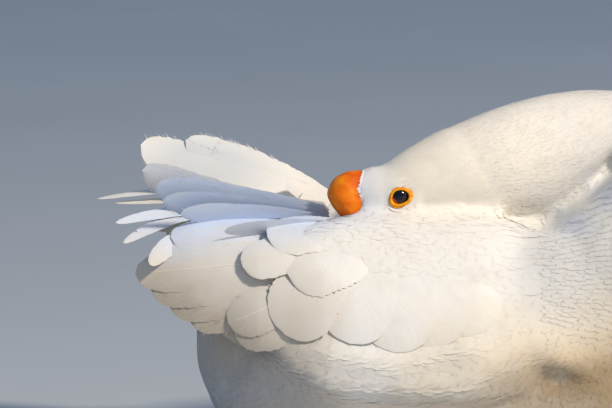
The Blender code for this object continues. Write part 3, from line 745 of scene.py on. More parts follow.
class Skin(Surface):
    """The goose's skin, and what the coat needs to know of it."""

    def __init__(self):
        shapes, swollen = {}, {}
        for name in FLESH:
            points, triangles, normals = node_surface(name)
            shapes[name] = (points, triangles)
            swollen[name] = (points + normals * SEAM_CLOSING, triangles)
        arms = [arm_pad(side) for side in SIDES]
        shoulders = [shoulder_pad(side) for side in SIDES]
        solids = [swollen[name] for name in FLESH] + [*arms, tail_core(), face_collar(), *shoulders]
        self.mesh = remeshed(*joined(solids), VOXEL, SMOOTHING_ROUNDS)
        self.label(shapes, arms)
        self.shape_up()
        self.find_lie()

    def label(self, shapes, arms):
        """Finds the body part that each point of the skin belongs to."""
        shapes = dict(shapes, arm_right=arms[0], arm_left=arms[1], tail=tail_core())
        self.names = list(shapes)
        points = points_of(self.mesh)
        self.part = np.argmin([gaps(tree_of(*shape), points) for shape in shapes.values()], axis=0)

    def shape_up(self):
        """Sinks the skin by the coat's depth and presses the coat's folds into it."""
        points, normals = points_of(self.mesh), normals_of(self.mesh)
        depth = np.array([DEPTHS.get(name, DEPTHS["torso"]) for name in self.names])[self.part]
        depth = self.spread(depth, 6)
        rise = sum(fold_rise(points, side, *fold) for side in SIDES for fold in FLANK_FOLDS)
        points += normals * (rise - depth)[:, None] + lid_swell(points)
        set_points(self.mesh, points)
        self.points, self.normals = points, normals_of(self.mesh)

    def spread(self, values, rounds):
        """Evens out values over neighbouring points."""
        values = np.array(values, float)
        a, b = read(self.mesh.edges, "vertices", 2, np.int32).T
        count = np.bincount(a, minlength=len(values)) + np.bincount(b, minlength=len(values))
        count = count.reshape(-1, *[1] * (values.ndim - 1))
        for _ in range(rounds):
            total = np.zeros_like(values)
            np.add.at(total, a, values[b])
            np.add.at(total, b, values[a])
            values = (values + total) / (1 + count)
        return values

    def find_lie(self):
        """The direction in which the coat lies at each point, from its root to its tip."""
        points, normals = self.points, self.normals
        lie = np.tile(LIE, (len(points), 1))
        front = held(normals[:, 0] * 1.4)[:, None]
        lie = lie * (1 - front) + np.array(LIE_IN_FRONT) * front
        line = np.array(NECK_LINE, float)
        nearest = np.linalg.norm(points[:, None] - line[None], axis=2).argmin(axis=1)
        along_neck = unit(np.gradient(line, axis=0))[nearest]
        fan = unit(np.array([[SHOULDER_POINT[0], 0, SHOULDER_POINT[1]]]) - points * (1, 0, 1))
        sideways = held((FAN_X - points[:, 0]) / FAN_FADE) * held(np.abs(normals[:, 1]) * 2 - 0.3)
        sideways = sideways[:, None]
        lower = along_neck * (1 - sideways) + fan * sideways
        for names, ways in (
            (("neck_upper", "neck_bend"), along_neck),
            (("neck_lower",), lower),
            (("head",), self.head_lie(points)),
        ):
            lie = np.where(self.is_part(*names)[:, None], ways, lie)
        self.lie = laid(unit(self.spread(unit(lie), 8)), normals)

    def head_lie(self, points):
        """Back from the bill, parting round each eye."""
        local = from_head(points)
        flow = np.tile(LIE_ON_HEAD, (len(points), 1))
        for side in SIDES:
            away = (local - (0, side * EYE_OUT, 0)) * (1, 0, 1)
            distance = np.linalg.norm(away, axis=1, keepdims=True)
            way = unit(away)
            near = (LID_REACH / np.maximum(distance, LID_REACH)) ** 2 * (local[:, 1:2] * side > 8)
            flow = flow - near * (2 * np.sum(flow * way, axis=1, keepdims=True) * way - flow)
        return unit(flow) @ head_axes()

    def is_part(self, *names):
        return np.isin(self.part, [self.names.index(name) for name in names])

    def finish(self):
        """Unwraps the skin and prepares it for the coat."""
        bpy.ops.object.select_all(action="DESELECT")
        holder = place("skin", self.mesh, feather_material("skin_white"), FLESH)
        bpy.context.view_layer.objects.active = holder
        holder.select_set(True)
        self.mesh.uv_layers.new(name="OFBake")
        bpy.ops.object.mode_set(mode="EDIT")
        bpy.ops.mesh.select_all(action="SELECT")
        bpy.ops.uv.smart_project(angle_limit=UNWRAP_ANGLE, island_margin=UNWRAP_MARGIN)
        bpy.ops.object.mode_set(mode="OBJECT")
        self.mesh.calc_loop_triangles()
        corners = self.mesh.loop_triangles
        triangles, loops = (read(corners, field, 3, np.int32) for field in ("vertices", "loops"))
        self.uv = read(self.mesh.uv_layers["OFBake"].data, "uv", 2)[loops]
        super().__init__(self.points, triangles, self.normals)

    def scatter(self, region, spacing, draw):
        """Roots at least a spacing apart over the points of a region: places, lies and unwrapped places."""
        inside = region[self.triangles].all(axis=1)
        chosen, uv = self.triangles[inside], self.uv[inside]
        a, b, c = (self.points[chosen[:, k]] for k in range(3))
        area = np.linalg.norm(np.cross(b - a, c - a), axis=1) / 2
        tries = int(area.sum() / spacing**2 * TRIES_PER_ROOT)
        pick = draw.choice(len(chosen), tries, p=area / area.sum())
        r, s = np.sqrt(draw.random(tries)), draw.random(tries)
        shares = np.stack([1 - r, r * (1 - s), r * s], axis=1)[:, :, None]
        places = (self.points[chosen[pick]] * shares).sum(axis=1)
        kept = thinned(places, spacing)
        lies = (self.lie[chosen[pick[kept]]] * shares[kept]).sum(axis=1)
        return places[kept], unit(lies), (uv[pick[kept]] * shares[kept]).sum(axis=1)

    def nearest_uv(self, spots):
        _, faces, shares = self.find(spots)
        return (self.uv[faces] * shares).sum(axis=1)


def thinned(places, spacing):
    """The numbers of places, taken in order, that keep a spacing from those taken before."""
    tree = KDTree(len(places))
    for number, spot in enumerate(places.tolist()):
        tree.insert(spot, number)
    tree.balance()
    free = np.ones(len(places), bool)
    kept = []
    for number, spot in enumerate(places.tolist()):
        if free[number]:
            kept.append(number)
            free[[found[1] for found in tree.find_range(spot, spacing)]] = False
    return np.array(kept)


def fold_rise(points, side, height, reach, line):
    """How far the coat stands out above a fold that runs along a line of (X, Z) on one flank."""
    line = np.array(line, float)
    start, run = line[:-1], np.diff(line, axis=0)
    flat = points[:, [0, 2]]
    spot = flat[:, None] - start
    share = held((spot * run).sum(axis=2) / (run * run).sum(axis=1))
    off = spot - share[..., None] * run
    distance = np.linalg.norm(off, axis=2)
    nearest = distance.argmin(axis=1)
    row = np.arange(len(points))
    off, run = off[row, nearest], run[nearest]
    above = run[:, 0] * off[:, 1] - run[:, 1] * off[:, 0] > 0
    ends = np.linalg.norm(flat[:, None] - line[[0, -1]], axis=2).min(axis=1)
    fade = held(ends / FOLD_FADE) * held(points[:, 1] * side / FOLD_FADE)
    away = distance[row, nearest]
    soft = np.where(above, held(1 - away / reach) ** 1.5, np.exp(-((away / FOLD_UNDERSIDE) ** 2)))
    return height * soft * fade


class Pattern:
    """A small feather laid flat: shares of its length and of its half width, point by point."""

    def __init__(self, stations, widths, columns, barbs, reach):
        across = np.linspace(-1, 1, columns)
        pairs = zip(stations, widths)
        grid = np.array([[(t - TIP_ROUNDING * c * c * t, c * w) for c in across] for t, w in pairs])
        margin = np.vstack([grid[:, 0], grid[-1, 1:-1], grid[::-1, -1]])
        run = np.linspace(0.28, 0.72, barbs + 1) * (len(margin) - 1)
        steps = np.arange(len(margin))
        bases = np.stack([np.interp(run, steps, margin[:, k]) for k in (0, 1)], axis=1)
        middles = (bases[:-1] + bases[1:]) / 2
        outward = unit((middles - (0.55, 0)) * (1, 0.6))
        tips = middles + outward * (reach, reach * 1.6)
        self.along, self.across = np.vstack([grid.reshape(-1, 2), bases - (0.03, 0), tips]).T
        self.free = np.arange(len(self.along)) >= len(self.along) - barbs
        start, order = grid.shape[0] * columns, np.arange(barbs)
        self.quads = sheet_faces(len(stations), columns)
        self.triangles = np.stack([start + order, start + order + 1, start + barbs + 1 + order], axis=1)


TUFT = Pattern((0, 0.35, 0.7, 1), (0.3, 0.9, 0.95, 0.4), 3, 6, 0.2)
PLUME = Pattern((0, 0.25, 0.5, 0.75, 0.92, 1), (0.3, 0.8, 1, 0.95, 0.7, 0.35), 5, 15, 0.1)
DOWN = Pattern((0, 0.35, 0.7, 1), (0.45, 0.95, 1, 0.6), 5, 9, 0.14)
STRAND = Pattern((0, 0.4, 0.75, 1), (0.5, 1, 0.9, 0.35), 3, 3, 0.22)


def walk(skin, roots, lies, lengths):
    """The middle lines of feathers that follow the skin: their places, outward and onward ways."""
    places, outs, ons = [], [], []
    spots, ways = roots, lies
    for _ in range(WALK_STATIONS):
        spots, out = skin.nearest(spots)
        ways = laid(ways, out)
        places.append(spots)
        outs.append(out)
        ons.append(ways)
        spots = spots + ways * (lengths / (WALK_STATIONS - 1))[:, None]
    return [np.stack(each, axis=1) for each in (places, outs, ons)]


def lay_feathers(
    name, skin, roots, draw, pattern, length, width, lift,
    ruffle=0.1, rise=0, camber=CAMBER, softness=SOFTNESS,
):
    """A mesh with one feather at each root, laid along the skin.

    The lift is the tip's height over the skin, the ruffle how much the feathers' ways differ.
    """
    places, lies, uv = roots
    count = len(places)
    lengths = length * (1 + draw.uniform(-0.2, 0.2, count))
    halves = (width / 2 * (1 + draw.uniform(-0.15, 0.15, count)))[:, None]
    lifts = (lift * (1 + draw.uniform(-0.25, 0.25, count)))[:, None]
    out = skin.nearest(places)[1]
    lies = unit(lies + np.cross(out, lies) * (ruffle * draw.normal(0, 1, count))[:, None])
    places, outs, ons = walk(skin, places, lies, lengths)
    sides = unit(np.cross(outs, ons))
    on_skin = held(pattern.along)
    spot = on_skin * (WALK_STATIONS - 1)
    low = np.minimum(spot.astype(int), WALK_STATIONS - 2)
    share = (spot - low)[None, :, None]

    def along_line(values):
        return values[:, low] * (1 - share) + values[:, low + 1] * share

    size = len(pattern.along)
    along = pattern.along + pattern.free * draw.uniform(-0.6, 0.7, (count, size)) * BARB_REACH
    beyond = (along - on_skin) * lengths[:, None]
    lean = draw.normal(0, LEAN, (count, 1)) * pattern.across * halves
    sunk = ROOT_SINK * (1 - held(along)) ** 2
    up = LAID_ABOVE + lifts * along - sunk - camber * halves * pattern.across**2 + lean
    up += np.reshape(rise, (-1, 1))
    outs = along_line(outs)
    points = along_line(places) + along_line(sides) * (pattern.across * halves)[..., None]
    points += outs * up[..., None] + along_line(ons) * beyond[..., None]
    start = (np.arange(count) * size)[:, None, None]
    quads = (pattern.quads + start).reshape(-1, 4)
    triangles = (pattern.triangles + start).reshape(-1, 3)
    points, outs = points.reshape(-1, 3), outs.reshape(-1, 3)
    mesh = new_mesh(name, points, [turned_out(points, faces, outs) for faces in (quads, triangles)])
    flat = np.stack([pattern.across, pattern.along], axis=1)
    set_uv(mesh, "OFBake", (uv[:, None] + (flat - (0, 0.5)) * PATCH / 2).reshape(-1, 2))
    set_uv(mesh, "Vane", np.tile(flat, (count, 1)))
    soften(mesh, outs, softness)
    return mesh


def turned_out(points, faces, outs):
    """The faces with their corners in the order that makes them look outwards."""
    a, b, c, d = (points[faces[:, k]] for k in (0, 1, 2, -1))
    inward = (np.cross(c - a, d - b) * outs[faces[:, 0]]).sum(axis=1) < 0
    return np.where(inward[:, None], faces[:, ::-1], faces)


def soften(mesh, outs, softness):
    """Turns the shading part of the way towards the way that the skin faces."""
    own = normals_of(mesh)
    mesh.normals_split_custom_set_from_vertices(unit(outs * softness + own * (1 - softness)))


def furrow_phase(points):
    """The turn of the furrows' wave at each point, and their strength there."""
    x, z = points[:, 0], points[:, 2]
    turn = np.degrees(np.arctan2(z - SHOULDER_POINT[1], x - SHOULDER_POINT[0]))
    bend = 0.5 * np.sin(x / 9) + 0.35 * np.sin(z / 6 + x / 23)
    phase = 2 * math.pi * (turn / FURROW_TURN + bend * 0.3)
    behind, ahead, below = FURROW_FADES
    strength = held((x - FURROW_X[0]) / behind) * held((FURROW_X[1] - x) / ahead)
    return phase, strength * held((z - FURROW_Z) / below)


def clear_of_horn(skin, roots, gap, draw):
    """Leaves out the roots that lie on or under the bill, the eyes and the lids."""
    places = roots[0]
    keep = np.ones(len(places), bool)
    for tree in skin.horn:
        keep &= gaps(tree, places) > gap * draw.random(len(places))
    for side in SIDES:
        away, height = from_lid(from_head(places), side)
        keep &= (np.abs(height) > LID_RANGE) | (away > -LID_COVER)
    return [each[keep] for each in roots]


def coat(skin):
    """All the small feathers, in pieces by body part. The face's edge goes on with the draw."""
    draw = np.random.default_rng(SEED)
    white = feather_material("coat_white", 0.25)

    def add(name, region, spacing, pattern, *sizes, clear=0.0, **more):
        """Feathers with their roots a spacing apart. The sizes are length, width and lift."""
        roots = skin.scatter(region, spacing, draw)
        if clear:
            roots = clear_of_horn(skin, roots, clear, draw)
        place(name, lay_feathers(name, skin, roots, draw, pattern, *sizes, **more), white)

    points = skin.points
    neck = skin.is_part("neck_lower", "neck_bend")
    sides = (furrow_phase(points)[1] > 0.1) & (np.abs(skin.normals[:, 1]) > 0.2)
    furrowed = sides & (neck | skin.is_part("torso"))
    add("coat_head", skin.is_part("head"), 1.8, TUFT, 5.5, 2.2, 0.35, clear=0.9, softness=0.72)
    add("coat_neck_upper", skin.is_part("neck_upper"), 2.3, TUFT, 8, 3.0, 0.45, softness=0.75)
    add("coat_neck_lower", neck & ~furrowed, 2.8, TUFT, 10, 4, 0.35, softness=0.8)
    add_furrows(skin, furrowed, draw, white)
    flank = skin.is_part("torso") & ~furrowed
    hidden = flank & (points[:, 2] < BELLY_TOP)
    for side in SIDES:
        region = flank & ~hidden & (points[:, 1] * side > 0)
        add(sided("coat_body", side), region, 3.3, DOWN, 10, 6, 0.12, clear=2.0, camber=0.02, softness=0.96)
    add("coat_belly", hidden, 8, PLUME, 24, 14, 0.8)
    for side in SIDES:
        more = {"clear": 2.0, "ruffle": 0.04, "camber": 0.01, "softness": 0.95}
        add(sided("coat_arm", side), skin.is_part(sided("arm", side)), 3.6, DOWN, 15, 8, 0.12, **more)
    add("coat_tail", skin.is_part("tail"), 5, PLUME, 18, 9, 0.8)
    return draw, white


def add_face_edge(skin, knob, draw, material):
    """The ragged edge of the face's feathers, which runs over the knob's back."""
    local = from_head(knob.points)
    near = local[:, 0] < knob_edge(local) + FACE_RAGGED
    chosen = knob.triangles[near[knob.triangles].any(axis=1)]
    pick = draw.integers(0, len(chosen), FACE_TRIES)
    shares = draw.dirichlet((1, 1, 1), FACE_TRIES)[:, :, None]
    places = (knob.points[chosen[pick]] * shares).sum(axis=1)
    local = from_head(places)
    ahead = local[:, 0] - knob_edge(local)
    wavy = roughened(places, 0.9, FACE_RAGGED)
    places = places[ahead < wavy - 0.3 + draw.exponential(0.35, len(places))]
    places = places[thinned(places, FACE_SPACING)]
    lies = np.tile([-1.0, 0, 0.25], (len(places), 1)) @ head_axes()
    roots = (places, lies, skin.nearest_uv(places))
    mesh = lay_feathers("coat_face_edge", knob, roots, draw, TUFT, 2.6, 0.9, 0.5, 0.3, softness=0.6)
    place("coat_face_edge", mesh, material)


def add_furrows(skin, region, draw, material):
    """The combed ridges on the sides of the neck."""
    places, lies, uv = skin.scatter(region, FURROW_SPACING, draw)
    phase, strength = furrow_phase(places)
    out = skin.nearest(places)[1]
    side = unit(np.cross(out, lies))
    distance = np.linalg.norm(places[:, [0, 2]] - SHOULDER_POINT, axis=1)
    width = distance * math.radians(FURROW_TURN)
    ahead = furrow_phase(places + side)[0] - phase
    pull = -np.sin(phase) * np.sign(ahead) * strength * width * 0.08
    rise = FURROW_HEIGHT * strength * np.cos(phase)
    roots = (places + side * pull[:, None], lies, uv)
    sizes = (9, 3.0, 0.15, 0.08, rise)
    mesh = lay_feathers("coat_furrows", skin, roots, draw, STRAND, *sizes, camber=0.03, softness=0.86)
    place("coat_furrows", mesh, material)


class Vanes:
    """Gathers large feathers into one piece, and their shafts into another."""

    def __init__(self, seed):
        self.draw = np.random.default_rng(seed)
        self.points, self.quads, self.outs, self.roots, self.shafts = [], [], [], [], []
        self.fringes, self.fringe_outs, self.shaft_of = [], [], []
        rows, across = np.linspace(0, 1, VANE_ROWS)[:, None], np.linspace(-1, 1, VANE_COLUMNS)[None]
        edge = rows + VANE_SLANT * (1 - rows) * np.clip(rows * 4, 0.25, 1)
        self.rows, self.across = rows, across
        self.along = rows + (edge - rows) * np.abs(across) ** 1.3
        base = VANE_ROOT + (1 - VANE_ROOT) * np.sin(held(self.along / VANE_FULL) * math.pi / 2)
        tip = held((self.along - VANE_SHOULDER) / (1 - VANE_SHOULDER))
        self.fullness = base * np.sqrt(held(1 - tip**2.4))

    def splits(self, length, wear):
        """The places along of a vane's points, with notches where its barbs part, and those rows."""
        along, parted = self.along.copy(), []
        for side in (-1, 1):
            for _ in range(self.draw.poisson(VANE_SPLITS * wear)):
                row = self.draw.integers(VANE_ROWS // 2, VANE_ROWS - 3)
                start, width = self.draw.uniform(*SPLIT_START), self.draw.uniform(*SPLIT_WIDTH)
                if any(side == other and abs(row - near) < SPLITS_APART for near, other, _ in parted):
                    continue
                outer = held((self.across[0] * side - start) / (1 - start))
                middle = (along[row] + along[row + 1]) / 2
                open_there = self.across[0] * side >= start - 0.1
                apart = width / length / 2 * outer
                along[row, open_there] = (middle - apart)[open_there]
                along[row + 1, open_there] = (middle + apart)[open_there]
                parted.append((row, side, start))
        return along, parted

    def add(self, surface, length, width, camber=CAMBER, wear=0.4, fringe=0, shaft=True):
        """One feather on a surface: a place for a share along, a distance across and a rise."""
        across, draw = self.across, self.draw
        half = width / 2 * self.fullness
        along, parted = self.splits(length, wear)
        ragged = 1 + draw.uniform(-0.04, 0.03, along.shape) * (np.abs(across) > 0.99)
        rise = -camber * half * across**2 + draw.normal(0, BARB_ROUGHNESS, along.shape) * np.abs(across)
        rise = rise + VANE_WAVE * np.sin(self.rows * 9 + draw.uniform(0, 6)) * np.abs(across)
        points = surface(along, across * half * ragged, rise)
        outs = surface(along, across * half * ragged, rise + 1) - points
        quads = sheet_faces(VANE_ROWS, VANE_COLUMNS).reshape(VANE_ROWS - 1, VANE_COLUMNS - 1, 4)
        kept = np.ones(quads.shape[:2], bool)
        middle = (across[0, :-1] + across[0, 1:]) / 2
        for row, side, start in parted:
            kept[row, middle * side > start] = False
        self.quads.append(quads[kept] + len(self.points) * along.size)
        self.points.append(points.reshape(-1, 3))
        self.outs.append(unit(outs).reshape(-1, 3))
        self.roots.append(surface(np.array(0.1), np.array(0.0), np.array(0.0)))
        self.add_fringe(surface, length, half, fringe)
        if shaft:
            self.add_shaft(surface, width)

    def add_shaft(self, surface, width):
        share = np.linspace(0, 0.92, SHAFT_ROWS)[:, None]
        thick = (SHAFT_WIDTH * (1 - share) + 0.1) * min(width / SHAFT_FULL_AT, 1) ** 0.5
        turns = np.linspace(0, math.pi, SHAFT_SIDES)[None]
        shaft = surface(share + 0 * turns, thick * np.cos(turns), 0.05 + 0.7 * thick * np.sin(turns))
        self.shafts.append(shaft.reshape(-1, 3))
        self.shaft_of.append(len(self.points) - 1)

    def add_fringe(self, surface, length, half, count):
        """Loose barbs that stand out from the edge of a vane towards its tip."""
        rows = self.draw.integers(VANE_ROWS // 2, VANE_ROWS - 1, count)
        side = self.draw.choice((-1, 1), count)
        edge = np.where(side < 0, 0, VANE_COLUMNS - 1)
        along, across = self.along[rows, edge], (self.across * half)[rows, edge]
        reach = self.draw.uniform(*FRINGE_REACH, count)
        lean = self.draw.uniform(*FRINGE_LEAN, count)
        inset = across * FRINGE_INSET
        tip = (along + reach * lean / length, inset + side * reach * (1 - lean))
        gap, rise = FRINGE_WIDTH / length, self.draw.normal(0, FRINGE_STRAY, count)
        corners = [(along - gap, inset, 0), (along + gap, inset, 0), (*tip, rise)]
        for points, raised in ((self.fringes, 0), (self.fringe_outs, 1)):
            triangle = np.stack([surface(a, c, r + raised) for a, c, r in corners], axis=1)
            points.append(triangle.reshape(-1, 3))

    def finish(self, name, skin, material, shaft_material, replaced):
        """Places the vanes and their shafts, each with its bake patch where its root is on the skin."""
        uv = skin.nearest_uv(np.array(self.roots))
        across = np.broadcast_to(self.across, self.along.shape)
        vane = np.stack([across, self.along], axis=-1).reshape(-1, 2)
        numbers, fringes = np.arange(len(self.points)), np.vstack(self.fringes)
        sizes = [len(each) for each in self.fringes]
        owner = np.concatenate([np.repeat(numbers, len(vane)), np.repeat(numbers, sizes)])
        flat = np.vstack([np.tile(vane, (len(numbers), 1)), np.tile(FRINGE_ON_MAP, (len(fringes), 1))])
        points = np.vstack([*self.points, fringes])
        outs = np.vstack([*self.outs, unit(np.vstack(self.fringe_outs) - fringes)])
        loose = len(numbers) * len(vane) + np.arange(len(fringes)).reshape(-1, 3)
        faces = [turned_out(points, each, outs) for each in (np.vstack(self.quads), loose)]
        mesh = new_mesh(name, points, faces)
        set_uv(mesh, "OFBake", uv[owner] + (flat - (0, 0.5)) * PATCH / 2)
        set_uv(mesh, "Vane", flat)
        soften(mesh, outs, VANE_SOFTNESS)
        place(name, mesh, material, replaced)
        self.finish_shafts(f"{name}_shafts", uv[self.shaft_of], shaft_material)

    def finish_shafts(self, name, uv, material):
        size = SHAFT_ROWS * SHAFT_SIDES
        start = (np.arange(len(self.shafts)) * size)[:, None, None]
        faces = (sheet_faces(SHAFT_ROWS, SHAFT_SIDES) + start).reshape(-1, 4)
        points = np.vstack(self.shafts)
        outs = np.repeat([self.outs[k][0] for k in self.shaft_of], size, axis=0)
        mesh = new_mesh(name, points, [turned_out(points, faces, outs)])
        flat = np.zeros((SHAFT_ROWS, SHAFT_SIDES, 2))
        flat[..., 1] = np.linspace(-1, 1, SHAFT_ROWS)[:, None]
        flat[..., 0] = np.linspace(-1, 1, SHAFT_SIDES)
        set_uv(mesh, "OFBake", (uv[:, None] + flat.reshape(-1, 2) * PATCH / 2).reshape(-1, 2))
        place(name, mesh, material)


def on_wing(side, row, roll):
    """The surface of a feather along the wing's shell, with the feather's length and width."""
    root_x, root_angle, tip_x, tip_angle, width, low, high = row

    def surface(share, across, rise):
        x = root_x + (tip_x - root_x) * share
        angle = root_angle + (tip_angle - root_angle) * share
        height = low + (high - low) * share + SHELL_ARCH * share * (1 - share) * 4
        radius = between(WING, x)[..., 0] + height
        round_way = radius * math.radians(tip_angle - root_angle)
        onward = np.hypot(tip_x - root_x, round_way)
        angle = angle + np.degrees((tip_x - root_x) / onward * across / radius)
        x = x - round_way / onward * across
        return shell_point(x, angle, height + roll * across + rise, side)

    ends = surface(np.array([0.0, 1.0]), np.zeros(2), np.zeros(2))
    return surface, np.linalg.norm(ends[1] - ends[0]), width


def add_rows(vanes, side, rows, roll, jitter, **more):
    """Feathers along the wing's shell, one a row, without partings."""
    for row in rows:
        row = np.array(row, float)
        row[:4] += vanes.draw.normal(0, 1, 4) * ROW_STRAY * jitter
        vanes.add(*on_wing(side, row, roll), wear=0, **more)


def on_plane(root, tip, width, facing, bow=0.0, arch=0.0, roll=0.0):
    """The surface of a feather in the plane that looks towards facing, bowed sideways and arched."""
    root, tip, facing = np.asarray(root), np.asarray(tip), unit(facing)
    length = np.linalg.norm(tip - root)
    sideways = unit(np.cross(tip - root, facing))
    facing = unit(np.cross(sideways, tip - root))

    def surface(share, across, rise):
        middle = 4 * share * (1 - share)
        height = rise + roll * across + arch * middle
        flat = spanned(share, tip - root, across + bow * middle, sideways)
        return root + flat + np.multiply.outer(height + 0 * share, facing)

    return surface, length, width


def make_wing(skin, side, material, shaft_material):
    """A wing's large feathers. The left wing's stray from their rows, and its innermost stand up."""
    vanes = Vanes(SEED + side)
    jitter = 0.0 if side == RIGHT else 1.0
    for row in QUILLS[side]:
        vanes.add(*on_plane(*row, PLANE_ROLL))
    if side == LEFT:
        for row in RAISED:
            vanes.add(*on_plane(*row, PLANE_ROLL), fringe=34, shaft=False)
    rows = [(*row[:2], max(row[2], FARTHEST[side]), *row[3:]) for row in SECONDARIES]
    add_rows(vanes, side, rows, SECONDARY_ROLL, jitter, fringe=18)
    add_rows(vanes, side, COVERTS[:1], SHELL_ROLL, jitter, camber=0.2, shaft=False)
    add_rows(vanes, side, COVERTS[1:], SHELL_ROLL, jitter, camber=0.03, shaft=False)
    add_rows(vanes, side, SCAPULARS, SHELL_ROLL, jitter, fringe=6, shaft=False)
    for root, tip, *more in LOOSE:
        root, tip, facing = (np.array(each) * (1, -side, 1) for each in (root, tip, more[1]))
        vanes.add(*on_plane(root, tip, more[0], facing, roll=PLANE_ROLL), fringe=6, shaft=False)
    name = sided("wing", side)
    vanes.finish(f"{name}_feathers", skin, material, shaft_material, [name])


def make_tail(skin, material, shaft_material):
    vanes = Vanes(SEED + 5)
    for t in np.linspace(-1, 1, TAIL_FEATHERS):
        height = -TAIL_ARCH * t * t + TAIL_STEP * (1 - abs(t)) + (TAIL_STEP / 2 if t > 0 else 0)
        short = TAIL_ROUNDING * t * t
        root, tip = (in_tail(reach - short, TAIL_SPREAD * t, height) for reach in TAIL_REACH)
        roll = math.copysign(TAIL_ROLL, -t)
        vanes.add(*on_plane(root, tip, TAIL_WIDTH, TAIL_OVER, roll=roll), wear=1, fringe=13)
    vanes.finish("tail_feathers", skin, material, shaft_material, ["tail"])


def catmull(rows, t):
    """The row at t on the smooth curve through the rows, which lie at t = 0, 1, 2 and on."""
    rows = np.asarray(rows, float)
    rows = np.concatenate([[2 * rows[0] - rows[1]], rows, [2 * rows[-1] - rows[-2]]])
    i = min(int(t), len(rows) - 4)
    t = t - i
    a, b, c, d = rows[i : i + 4]
    square, cube = 2 * a - 5 * b + 4 * c - d, 3 * b - 3 * c + d - a
    return (2 * b + (c - a) * t + square * t**2 + cube * t**3) / 2


def head_loft(rows, stations, sides, squareness=2.0):
    """Rings along the head, from rows of its stations. A squareness over 2 fills their corners."""
    turns = ring_turns(sides)
    ways = (np.cos(turns), np.sin(turns))
    c, s = (np.sign(way) * np.abs(way) ** (2 / squareness) for way in ways)
    rings = []
    for t in np.linspace(0, len(rows) - 1, stations):
        x, low, high, half = catmull(rows, t)
        height = (low + high) / 2 + (high - low) / 2 * s
        rings.append(np.stack([np.full(sides, x), half * c, height], axis=1))
    return np.array(rings)


def horn_piece(name, rings, material, node):
    points, triangles = closed_loft(in_head(rings))
    mesh = new_mesh(name, points, [triangles])
    place(name, mesh, material, [node])
    return Surface(points, triangles, normals_of(mesh)), mesh


def roughened(places, scale, height):
    """Small bumps for places, from noise of a given scale."""
    flat = places.reshape(-1, 3)
    bumps = np.array([noise.noise(Vector(p) * scale) for p in flat.tolist()])
    return (bumps * height).reshape(places.shape[:-1])


def make_knob(material):
    rings = head_loft(KNOB, KNOB_STATIONS, KNOB_SIDES)
    outward = unit(rings - rings.mean(axis=1, keepdims=True))
    rings = rings + outward * (roughened(rings, 0.13, 0.5) + roughened(rings, 0.6, 0.12))[..., None]
    knob, mesh = horn_piece("knob_skin", rings, material, "knob")
    # The knob is redder where it comes out of the feathers.
    local = from_head(knob.points)
    ahead = local[:, 0] - knob_edge(local)
    red = held(1 - ahead / RED_REACH) * np.clip((local[:, 2] - 4) / 12, 0.3, 1)
    mesh.attributes.new("red", "FLOAT", "POINT").data.foreach_set("value", red)
    return knob


def bill_loft(rows, squareness):
    """The x, y and z of a half of the bill, and each point's share of the height there."""
    x, y, z = np.moveaxis(head_loft(rows, BILL_STATIONS, BILL_SIDES, squareness), -1, 0)
    low, high = z.min(axis=1, keepdims=True), z.max(axis=1, keepdims=True)
    return x, y, z, (z - low) / (high - low)


def finish_bill(node, places, bumps, material):
    places = np.stack(places, axis=-1)
    places[..., 2] += roughened(places, 0.35, bumps)
    horn_piece(f"{node}_horn", places, material, node)


def make_bill(material):
    x, y, z, share = bill_loft(BILL_UPPER, 2.3)
    # The ridge along the top, and the cutting edge with its comb.
    z += 0.9 * held(1 - np.abs(y) / 4) ** 2 * share
    edge = held(1 - np.abs(share - 0.16) / 0.12)
    y += np.sign(y) * edge * (0.5 + 0.28 * np.sin(x * COMB))
    under = held(1 - share / 0.12)
    z += under * 0.35 * np.sin(x * COMB)
    # The nail at the tip.
    nail = held((x - NAIL_X) / 3) * held(1 - np.abs(y) / 7) * (share > 0.5)
    z += 0.7 * np.sqrt(nail)
    # The nostrils.
    ahead = x - NOSTRIL_AT[0]
    above = z - NOSTRIL_AT[1] + NOSTRIL_SLOPE * ahead
    distance = np.hypot(ahead / NOSTRIL_RADII[0], above / NOSTRIL_RADII[1])
    pit = held(held(1.25 - distance) * 2.2)
    rim = np.exp(-(((distance - 1.5) / 0.35) ** 2))
    y += np.sign(y) * (0.45 * rim - 4.5 * pit**1.5) * (np.abs(y) > 3)
    finish_bill("bill_upper", (x, y, z), 0.15, material)
    x, y, z, share = bill_loft(BILL_LOWER, 2.4)
    edge = held(1 - np.abs(share - 0.8) / 0.2)
    y += np.sign(y) * edge * (0.3 + 0.25 * np.sin(x * COMB + 1.5))
    z += 0.8 * held(1 - np.abs(y) / 4) * (share < 0.4) * held((76 - x) / 8)
    finish_bill("bill_lower", (x, y, z), 0.12, material)


def lid_axes():
    facing = unit(LID_FACING)
    ahead = unit(np.cross(facing, (0, 0, 1)))
    return ahead, np.cross(ahead, facing), facing


def lid_reach(turn):
    """The eye opening's reach and the lid's at an angle round the eye."""
    rows = np.array(LID_OUTLINE, float)
    rows = np.vstack([rows[-2:] - (360, 0, 0), rows, rows[:2] + (360, 0, 0)])
    return [np.interp(turn % 360, rows[:, 0], rows[:, k]) for k in (1, 2)]


def from_lid(local, side):
    """How far points of the head are outside a lid's edge, and their height over its plane."""
    ahead, rise, facing = lid_axes()
    off = (local - (0, side * LID_OUT, 0)) * (1, side, 1)
    turn = np.degrees(np.arctan2(off @ rise, off @ ahead))
    return np.hypot(off @ ahead, off @ rise) - lid_reach(turn)[1], off @ facing


def lid_piece(name, grid, faces, side, material, replaced=()):
    """A piece at an eye, from a grid of points on the left side of the head."""
    points = in_head(grid.reshape(-1, 3) * (1, side, 1))
    place(name, new_mesh(name, points, [faces]), material, replaced)


